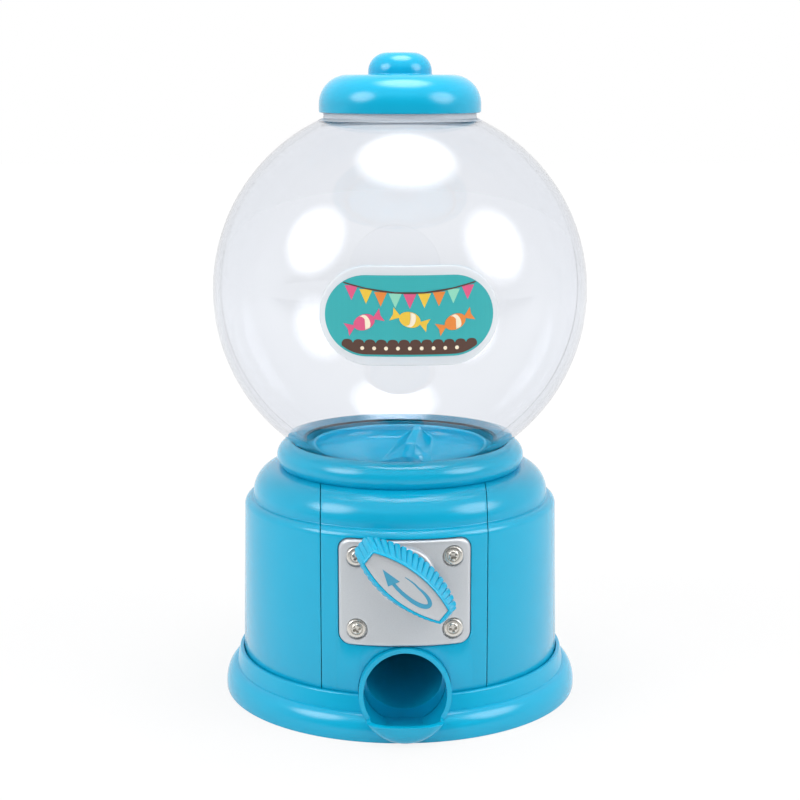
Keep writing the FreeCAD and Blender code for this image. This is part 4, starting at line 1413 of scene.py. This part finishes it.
@dataclass
class FacePlate:
    """Silver plate on the drum with its bearing boss and screws, in millimetres."""

    palette: Palette
    base: Base
    corner: float = 3.0
    proud: float = 1.0
    tuck: float = 1.5
    edge: float = 0.8
    burr: float = 0.16
    span: float = 1.6
    gap: float = 0.3
    seat: float = 0.95
    groove_rise: float = 6.0
    boss_r: float = 7.9
    boss_h: float = 3.8
    boss_round: float = 0.9
    boss_tuck: float = 0.6
    bore_r: float = 4.1
    bore_round: float = 0.2
    screw_x: float = 12.8
    screw_rise: float = 9.9
    shank_r: float = 1.2
    shank: float = 4.0
    head_r: float = 2.6
    head_h: float = 1.25
    washer: Point = (0.6, 0.5)
    washer_z: float = 0.3
    head_groove: tuple[Point, ...] = ((1.72, 0.86), (1.62, 0.72), (1.5, 0.78))
    dome: Point = (0.55, 0.4)
    dome_middle: Point = (0.9, 0.8)
    dome_flat: float = 0.4
    cross: Point = (1.1, 0.34)
    cross_z: float = 0.1
    first_spin: float = 18.0
    next_spin: float = 41.0
    recess: float = 0.9
    recess_r: float = 2.95
    recess_back: float = 20.0

    def __post_init__(self) -> None:
        """Read the plate's place from the frame."""
        self.low, self.high = node_box("face_plate")
        self.mid_z = (self.low.z + self.high.z) / 2

    def front_y(self, x: float, z: float, offset: float) -> float:
        """Y of the drum's side at an offset from it."""
        return -math.sqrt((self.base.side_r(z) + offset) ** 2 - x ** 2)

    def sheet(
        self, name: str, grow: float, front: float, back: float, edge: float, rings: int
    ) -> Object:
        """Make a sheet bent to the drum, of the plate's shape.

        Args:
            name: Name of the piece.
            grow: Distance outside the plate's edge.
            front: Offset of its front from the drum's side.
            back: Offset of its back.
            edge: Rounding of its front edge.
            rings: Rings from its middle to its edge.

        Returns:
            The sheet.
        """
        x, low_z, high_z = self.high.x + grow, self.low.z - grow, self.high.z + grow
        bend = self.corner + grow
        corners = [(x, low_z, bend), (x, high_z, bend), (-x, high_z, bend), (-x, low_z, bend)]
        outline = rounded(corners, steps=10)
        return bent_plate(
            name, densified(outline + outline[:1], self.span)[:-1], (0, self.mid_z),
            lambda x, z: self.front_y(x, z, front), lambda x, z: self.front_y(x, z, back),
            self.palette.silver, edge, rings,
        )

    def groove(self) -> Object:
        """Cutter for the plate's seat in the front panel."""
        return self.sheet("tool_groove", self.gap, self.groove_rise, -self.seat, edge=0.0, rings=14)

    def build(self) -> None:
        """Make the plate, its boss and its screws."""
        plate = self.sheet("face_plate_sheet", 0.0, self.proud, -self.tuck, self.edge, rings=18)
        front, back = self.low.y, self.low.y + self.boss_h
        corners = [
            (self.bore_r, front, self.bore_round),
            (self.boss_r, front, self.boss_round),
            (self.boss_r, back, 0.0),
            (self.bore_r, back, 0.0),
        ]
        boss = lathe("tool_boss", rounded(corners, steps=8), self.palette.silver, steps=96)
        boss.data.transform(Matrix.Translation((0, 0, KNOB_Z * MM)) @ Matrix.Rotation(-math.pi / 2, 4, "X"))
        carve(plate, bar(self.boss_r - self.boss_tuck, (-FAR, 0), 0, KNOB_Z))
        seats = []
        for x in (-self.screw_x, self.screw_x):
            for z in (self.mid_z - self.screw_rise, self.mid_z + self.screw_rise):
                y = self.front_y(x, z, self.proud) + self.recess
                carve(plate, bar(self.recess_r, (y - self.recess_back, y), x, z, steps=48))
                seats.append(Vector((x, y, z)) * MM)
        edge_round(plate, self.burr, angle=60)
        joined = bmesh.new()
        joined.from_mesh(plate.data)
        joined.from_mesh(boss.data)
        joined.to_mesh(plate.data)
        joined.free()
        bpy.data.objects.remove(boss)
        dress(soften(plate, angle=40), Body.MACHINE, Slot.SILVER, "face_plate")
        self.build_screws(seats)

    def build_screws(self, seats: list[Vector]) -> None:
        """Set cross-head screws with washer rims at their seats.

        Args:
            seats: Middle of each head's underside, in metres.
        """
        outline = [(0, -self.shank), (self.shank_r, -self.shank), (self.shank_r, 0), (self.head_r, 0)]
        outline += arc((self.head_r - self.washer[0], self.washer_z), self.washer, start=0, end=80, steps=6)
        outline += self.head_groove
        outline += arc(self.dome_middle, self.dome, start=10, end=80, steps=5)
        outline += [(self.dome_flat, self.head_h), (0, self.head_h)]
        head = lathe("tool_screw", outline, self.palette.steel, steps=48)
        long, narrow = self.cross
        for turn in (0, 90):
            slot = block((-long, long), (-narrow, narrow), (self.cross_z, self.shank))
            slot.data.transform(Matrix.Rotation(math.radians(turn), 4, "Z"))
            carve(head, slot)
        edge_round(head, self.burr / 2, angle=40)
        upright = Matrix.Rotation(math.pi / 2, 4, "X")
        places = []
        for i, seat in enumerate(seats):
            spin = Matrix.Rotation(math.radians(self.first_spin + self.next_spin * i), 4, "Z")
            places.append(Matrix.Translation(seat) @ upright @ spin)
        screws = place_copies("face_plate_screw_set", head, places, self.palette.steel)
        dress(screws, Body.MACHINE, Slot.STEEL, "face_plate_screws")


@dataclass
class Knob:
    """Ribbed boat-shaped grip with a silver inlay and a turn arrow, in millimetres.

    Each pair of sizes holds the grip's back and its front.
    """

    palette: Palette
    rest: float = 39.0
    depth: float = 8.2
    length: Point = (31.1, 25.8)
    width: Point = (14.5, 9.8)
    end: Point = (5.0, 4.4)
    end_draw: float = 1.2
    end_spans: int = 6
    stem_r: float = 3.95
    rib: float = 0.62
    rib_half: float = 0.9
    rib_sunk: float = 0.85
    rib_square: float = 0.7
    rib_tip: float = 0.3
    rib_flat: float = 0.05
    rib_core: float = 0.45
    rib_middle: float = 0.47
    ribs: int = 17
    rib_spans: int = 170
    end_ribs: int = 3
    end_rib_sunk: float = 0.5
    end_rib_share: float = 0.92
    rim: float = 0.6
    face_sunk: float = 0.25
    face_t: float = 0.5
    face_gap: float = 0.02
    face_edge: float = 0.12
    ink_t: float = 0.05
    stroke: Point = (0.08, 0.53)
    stroke_turn: float = 0.78
    stroke_full: float = 0.8

    def __post_init__(self) -> None:
        """Read the knob's depth from the frame."""
        self.front_y = node_box("knob")[0].y
        self.back_y = self.front_y + self.depth
        self.key_y = node_box("dispensing_wheel")[0].y
        lift = Matrix.Translation((0, 0, KNOB_Z * MM))
        self.seat = lift @ Matrix.Rotation(math.radians(self.rest), 4, "Y")

    def outline(self, front: float, inset: float, steps: int = 40) -> list[Point]:
        """Boat outline between the back and the front of the grip.

        Args:
            front: Nought at the back, one at the front.
            inset: Distance inside the full outline.
            steps: Spans along each side.

        Returns:
            Points in X and Z round the axis.
        """
        length, width, end = [a + (b - a) * front for a, b in (self.length, self.width, self.end)]
        half = length / 2 - inset
        width -= 2 * inset
        end -= self.end_draw * inset
        rise = (width - end) / 2
        radius = (half ** 2 + rise ** 2) / (2 * rise)
        reach = math.degrees(math.asin(half / radius))
        top = arc((0, width / 2 - radius), (radius, radius), 90 - reach, 90 + reach, steps)
        left = [(-half, end / 2 - end * i / self.end_spans) for i in range(1, self.end_spans)]
        upper = top + left
        return upper + [(-x, -z) for x, z in upper]

    def build_grip(self) -> None:
        """Make the grip's body, rim and spindle."""
        sunk = self.rib * self.rib_sunk
        # Both lists hold the distance behind the front and the inset of each loop.
        flank = [(self.depth, sunk + 0.5), (self.depth - 0.5, sunk), (1.0, sunk), (0.95, 0.02), (0.35, 0.0)]
        rim = [(0.08, 0.12), (0.0, 0.3), (0.06, self.rim - 0.08), (0.5, self.rim)]
        loops = [(y, self.outline(1 - y / self.depth, inset)) for y, inset in flank]
        loops += [(y, self.outline(1.0, inset)) for y, inset in rim]
        bm = bmesh.new()
        rows = [[bm.verts.new((x, self.front_y + y, z)) for x, z in loop] for y, loop in loops]
        skin(bm, rows)
        bm.faces.new(rows[0])
        bm.faces.new(rows[-1])
        add_bar(bm, self.stem_r, (self.back_y, self.key_y), 0, 0, steps=48)
        bmesh.ops.recalc_face_normals(bm, faces=bm.faces)
        grip = new_piece("knob_grip", bm, self.palette.abs)
        grip.data.transform(self.seat)
        dress(soften(grip, angle=35), Body.KNOB, Slot.ABS, "knob")

    def rib_places(self) -> list[Matrix]:
        """Return the places of the ribs round the grip's flank."""
        back, front = [self.outline(at, self.rib * self.rib_sunk, self.rib_spans) for at in (0.0, 1.0)]
        picks = [int((i + 0.5) * self.rib_spans / self.ribs) for i in range(self.ribs)]
        lines = []
        for mark in picks + [pick + self.rib_spans + self.end_spans for pick in picks]:
            run = Vector(back[mark + 1]) - Vector(back[mark - 1])
            lines.append((back[mark], front[mark], Vector((run.y, 0, -run.x))))
        for sign in (-1, 1):
            for i in range(self.end_ribs):
                share = ((i + 0.5) / self.end_ribs - 0.5) * self.end_rib_share
                sizes = zip(self.length, self.end)
                tail, tip = [(sign * (a / 2 - self.end_rib_sunk), share * b) for a, b in sizes]
                lines.append((tail, tip, Vector((sign, 0, 0))))
        places = []
        for tail, tip, out in lines:
            one = Vector((tail[0], self.back_y, tail[1]))
            two = Vector((tip[0], self.front_y, tip[1]))
            along = (two - one).normalized()
            out = (out - along * out.dot(along)).normalized()
            turn = Matrix((along.cross(out), along, out)).transposed().to_4x4()
            places.append(self.seat @ Matrix.Translation(one.lerp(two, self.rib_middle) * MM) @ turn)
        return places

    def build_ribs(self) -> None:
        """Set long ribs with rounded tips along the flank."""
        bm = bmesh.new()
        bmesh.ops.create_uvsphere(bm, u_segments=12, v_segments=8, radius=1.0)
        bmesh.ops.rotate(bm, verts=bm.verts, matrix=Matrix.Rotation(math.pi / 2, 3, "X"))
        for vert in bm.verts:
            x, y, z = vert.co
            core = self.depth * self.rib_core * (1 if y > 0 else -1)
            square = math.copysign(abs(x) ** self.rib_square, x)
            tip = 0.0 if abs(y) < self.rib_flat else y * self.rib_tip
            vert.co = (square * self.rib_half, core + tip, z * self.rib)
        rib = new_piece("tool_rib", bm)
        dress(place_copies("knob_rib_set", rib, self.rib_places(), self.palette.abs), Body.KNOB, Slot.ABS)

    def build_face(self) -> None:
        """Make the silver inlay."""
        floor = self.front_y + self.face_sunk
        inlay = bent_plate(
            "knob_inlay", self.outline(1.0, self.rim + self.face_gap), (0, 0),
            lambda x, z: floor, lambda x, z: floor + self.face_t,
            self.palette.silver, self.face_edge, rings=4,
        )
        inlay.data.transform(self.seat)
        dress(inlay, Body.KNOB, Slot.SILVER, "knob_face")

    def build_arrow(self) -> None:
        """Print the turn arrow: a swelling stroke round a bend, and its head."""
        floor = self.front_y + self.face_sunk
        track = [(-2.0, 1.85), (-0.9, 1.96), (0.2, 1.99), (1.3, 1.94)]
        track += arc((2.6, -0.1), (5.0, 1.85), 90, -90, steps=36)
        track += [(1.3, -1.94), (0.0, -1.88), (-1.6, -1.7), (-3.2, -1.38)]
        head = [(-3.88, -2.75), (-2.29, 0.12), (-7.83, -0.09)]
        last = len(track) - 1
        left, right = [], []
        for i, (x, z) in enumerate(track):
            swell = math.sin(math.pi * min(1.0, i / last * self.stroke_turn)) ** self.stroke_full
            run = Vector(track[min(i + 1, last)]) - Vector(track[max(i - 1, 0)])
            out = Vector((-run.y, run.x)).normalized() * (self.stroke[0] + self.stroke[1] * swell)
            left.append((x + out.x, z + out.y))
            right.append((x - out.x, z - out.y))
        bm = bmesh.new()
        for loop in (left + right[::-1], head):
            rows = [[bm.verts.new((x, floor + y, z)) for x, z in loop] for y in (-self.ink_t, self.ink_t)]
            bm.faces.new(rows[0])
            bm.faces.new(rows[1])
            skin(bm, rows)
        bmesh.ops.recalc_face_normals(bm, faces=bm.faces)
        arrow = new_piece("knob_arrow_ink", bm, self.palette.blue)
        arrow.data.transform(self.seat)
        dress(arrow, Body.KNOB, Slot.FILM)

    def build(self) -> None:
        """Make the whole knob."""
        self.build_grip()
        self.build_ribs()
        self.build_face()
        self.build_arrow()


@dataclass
class Spout:
    """Round outlet with a cupped lip, in millimetres."""

    palette: Palette
    wall: float = 1.25
    edge: float = 0.4
    reach: float = 55.0
    brow: float = 46.6
    lip_z: float = 6.0
    lip_back: float = 48.4
    fullness: float = 3.6
    turns: int = 144
    spans: int = 22

    def row(self, turn: float, back_y: float) -> list[Corner]:
        """Points from the back of the tube to its front edge, or over the cup's lip.

        Args:
            turn: Angle round the tube, in radians.
            back_y: Back end of the tube.

        Returns:
            The points in order.
        """
        x, rise = OUTLET_R * math.cos(turn), OUTLET_R * math.sin(turn)
        z = OUTLET_Z + rise
        cupped = z < self.lip_z
        share = 0.0 if cupped else (z - self.lip_z) / (OUTLET_Z + OUTLET_R - self.lip_z)
        edge_y = -(self.lip_back + (self.brow - self.lip_back) * share)
        made = [(x, back_y + (edge_y - back_y) * j / self.spans, z) for j in range(self.spans + 1)]
        if cupped:
            stop = (OUTLET_Z - self.lip_z) / -rise
            for j in range(1, self.spans + 1):
                draw = 1 - (1 - stop) * (1 - math.cos(math.pi / 2 * j / self.spans))
                bulge = (1 - draw ** self.fullness) ** (1 / self.fullness)
                y = -self.lip_back - (self.reach - self.lip_back) * bulge
                made.append((x * draw, y, OUTLET_Z + rise * draw))
        return made

    def build(self) -> None:
        """Make the tube and cup as one skin, then give it its wall."""
        back_y = node_box("outlet_spout")[1].y
        bm = bmesh.new()
        grid = []
        for i in range(self.turns):
            grid.append([bm.verts.new(spot) for spot in self.row(math.tau * i / self.turns, back_y)])
        skin(bm, grid + grid[:1], False)
        bmesh.ops.remove_doubles(bm, verts=bm.verts, dist=TINY * 10)
        bmesh.ops.recalc_face_normals(bm, faces=bm.faces)
        spout = new_piece("outlet_spout_shell", bm, self.palette.abs)
        thick = spout.modifiers.new("wall", "SOLIDIFY")
        thick.thickness = self.wall * MM
        thick.offset = -1.0
        thick.use_even_offset = True
        settle(spout)
        edge_round(spout, self.edge, angle=50, segments=3)
        dress(soften(spout, angle=45), Body.MACHINE, Slot.ABS, "outlet_spout")


@dataclass
class Chute:
    """Sloping trough with a round floor from the wheel to the outlet, in millimetres."""

    palette: Palette
    half: float = 11.0
    roundness: float = 0.8
    fall: float = 0.42
    wall: float = 0.7
    end_wall: float = 1.5
    floor_z: float = 5.2
    side_h: float = 18.6
    side_climb: float = 1.6
    mouth_r: float = 11.1
    steps: int = 24

    def __post_init__(self) -> None:
        """Read the trough's place from the frame."""
        self.low, self.high = node_box("chute")

    def section(self, y: float, inset: float) -> list[Point]:
        """Channel outline at a place along the trough.

        Args:
            y: Place along the trough.
            inset: Distance inside its outer skin.

        Returns:
            Points from one upper edge to the other.
        """
        run = y - self.low.y
        floor = self.floor_z + run * self.fall - self.wall + inset
        climb = min(1.0, run / (self.high.y - self.low.y) * self.side_climb)
        top = self.low.z + self.side_h + (self.high.z - self.low.z - self.side_h) * climb
        width = self.half - inset
        depth = self.half * self.roundness
        bowl = arc((0, floor + depth), (width, depth), 180, 360, self.steps)
        return [(-width, top)] + bowl + [(width, top)]

    def build(self) -> None:
        """Make the trough as a bent channel with a closed end and an apron at its mouth."""
        front, back = self.low.y, self.high.y
        middle = (front + back) / 2
        outer = [(y, self.section(y, 0.0)) for y in (front, middle, back)]
        outer[0][1][1:-1] = arc((0, OUTLET_Z), (self.mouth_r, self.mouth_r), 180, 360, self.steps)
        inner = [(y, self.section(y, self.wall)) for y in (back - self.end_wall, middle, front)]
        bm = bmesh.new()
        rows = [[bm.verts.new((x, y, z)) for x, z in loop] for y, loop in outer + inner]
        skin(bm, rows + rows[:1], False)
        for j in (0, -1):
            for k in (0, 1):
                bm.faces.new([rows[k][j], rows[k + 1][j], rows[-2 - k][j], rows[-1 - k][j]])
        bmesh.ops.recalc_face_normals(bm, faces=bm.faces)
        trough = soften(new_piece("chute_trough", bm, self.palette.abs), angle=40)
        dress(trough, Body.MACHINE, Slot.ABS, "chute")


@dataclass
class Studio:
    """Camera, light, floor and backdrop, in metres.

    World levels hold for the dim room that gloss mirrors in front, for what
    is seen through the globe, and for light that leaves through its wall.
    """

    focal_px: float = 1700.0
    frame_px: float = 800.0
    sensor_mm: float = 36.0
    distance: float = 0.4767
    height: float = 0.1738
    pitch: float = 10.75
    swing: float = 1.7
    world_level: float = 0.45
    room_level: float = 0.12
    through_level: float = 0.85
    inside_level: float = 2.0
    room_y: Point = (-0.8, 0.1)
    room_z: Point = (0.3, 0.8)
    floor_half: float = 3.0
    lamps: tuple[tuple[str, Corner, float], ...] = (
        ("key", (-0.9, -0.5, 0.7), 18.0),
        ("fill", (0.9, -0.45, 0.6), 15.0),
        ("top", (0.05, 0.0, 1.1), 21.0),
    )
    lamp_size: float = 0.95
    lamp_fade: Point = (0.5, 0.2)
    aim_z: float = 0.09

    def build(self) -> None:
        """Set up everything that isn't part of the object."""
        scene = bpy.context.scene
        scene.view_settings.view_transform = "Standard"
        data = bpy.data.cameras.new("camera")
        data.sensor_width = self.sensor_mm
        data.sensor_fit = "HORIZONTAL"
        data.lens = self.focal_px / self.frame_px * self.sensor_mm
        camera = bpy.data.objects.new("camera", data)
        scene.collection.objects.link(camera)
        swing = math.radians(self.swing)
        camera.location = (-self.distance * math.sin(swing), -self.distance * math.cos(swing), self.height)
        camera.rotation_euler = (math.radians(90 - self.pitch), 0, -swing)
        scene.camera = camera
        self.build_world(scene)
        bm = bmesh.new()
        bmesh.ops.create_grid(bm, x_segments=1, y_segments=1, size=self.floor_half / MM)
        paper = PaperSweep("white paper sweep, matt", "#FFFFFF", roughness=0.9, room_level=self.room_level)
        new_piece("floor", bm, paper.build())
        for name, place, power in self.lamps:
            self.lamp(name, place, power)

    def build_world(self, scene: Scene) -> None:
        """Light from all sides, with a white background in view and in gloss.

        Args:
            scene: Scene that gets the world.
        """
        world = bpy.data.worlds.new("studio")
        world.use_nodes = True
        world.node_tree.nodes.clear()
        board = Board(world.node_tree)
        path = board.add("ShaderNodeLightPath").outputs
        ways = board.add("ShaderNodeTexCoord").outputs["Generated"]
        way = board.add("ShaderNodeSeparateXYZ", {0: ways}).outputs
        far = board.spread(way["Y"], self.room_level, 1.0, self.room_y, "SMOOTHSTEP")
        high = board.spread(way["Z"], self.room_level, 1.0, self.room_z, "SMOOTHSTEP")
        through = board.calc("MULTIPLY", path["Is Transmission Ray"], self.through_level)
        wall = board.calc("MAXIMUM", board.calc("MAXIMUM", far, high), through)
        shown = board.calc("MAXIMUM", wall, path["Is Camera Ray"])
        level = board.spread(board.looked_at(path), self.world_level, shown)
        bounced = board.calc("MULTIPLY", path["Diffuse Depth"], path["Is Transmission Ray"])
        inside = board.spread(bounced, level, self.inside_level)
        sky = board.add("ShaderNodeBackground", {"Color": linear("#FFFFFF"), "Strength": inside})
        board.add("ShaderNodeOutputWorld", {"Surface": sky.outputs["Background"]})
        scene.world = world

    def lamp(self, name: str, place: Corner, power: float) -> None:
        """Hang one lamp with a soft edge that looks at the machine.

        Args:
            name: Name of the lamp.
            place: Where it hangs.
            power: Watts.
        """
        data = bpy.data.lights.new(name, "AREA")
        data.size = self.lamp_size
        data.energy = power
        data.use_nodes = True
        data.node_tree.nodes.clear()
        board = Board(data.node_tree)
        face = board.add("ShaderNodeNewGeometry").outputs["Parametric"]
        reach = board.add("ShaderNodeVectorMath", {0: face, 1: (0.5, 0.5, 0.0)}, operation="DISTANCE")
        glow = board.spread(reach.outputs["Value"], 0.0, 1.0, self.lamp_fade, "SMOOTHSTEP")
        light = board.add("ShaderNodeEmission", {"Strength": glow})
        board.add("ShaderNodeOutputLight", {"Surface": light.outputs["Emission"]})
        lamp = bpy.data.objects.new(name, data)
        lamp.location = place
        aim = Vector((0, 0, self.aim_z)) - Vector(place)
        lamp.rotation_euler = aim.to_track_quat("-Z", "Y").to_euler()
        bpy.context.scene.collection.objects.link(lamp)


def dress_frame(palette: Palette) -> None:
    """Give every CAD node that stays in view its real finish.

    Args:
        palette: Materials of the machine.
    """
    finishes = {Slot.ABS: palette.abs, Slot.STEEL: palette.steel, Slot.SILVER: palette.silver}
    for entry in frame["record"]["subparts"]:
        finish = finishes.get(Slot(entry["material_slot"]))
        node = frame["nodes"].get(entry["node"])
        if finish and node:
            node.data.materials.clear()
            node.data.materials.append(finish)


def main() -> None:
    """Build the machine's looks in order."""
    logging.basicConfig(level=logging.INFO, format="%(name)s: %(message)s")
    palette = Palette()
    dress_frame(palette)
    base = Base(palette)
    globe = Globe(palette)
    plate = FacePlate(palette, base)
    base.build_drum(plate)
    base.build_plinth()
    base.build_collar(globe)
    globe.build()
    Label(palette, globe).build()
    Hopper(palette).build()
    Lid(palette).build()
    plate.build()
    Knob(palette).build()
    Spout(palette).build()
    Chute(palette).build()
    Studio().build()


if __name__ == "__main__":
    main()
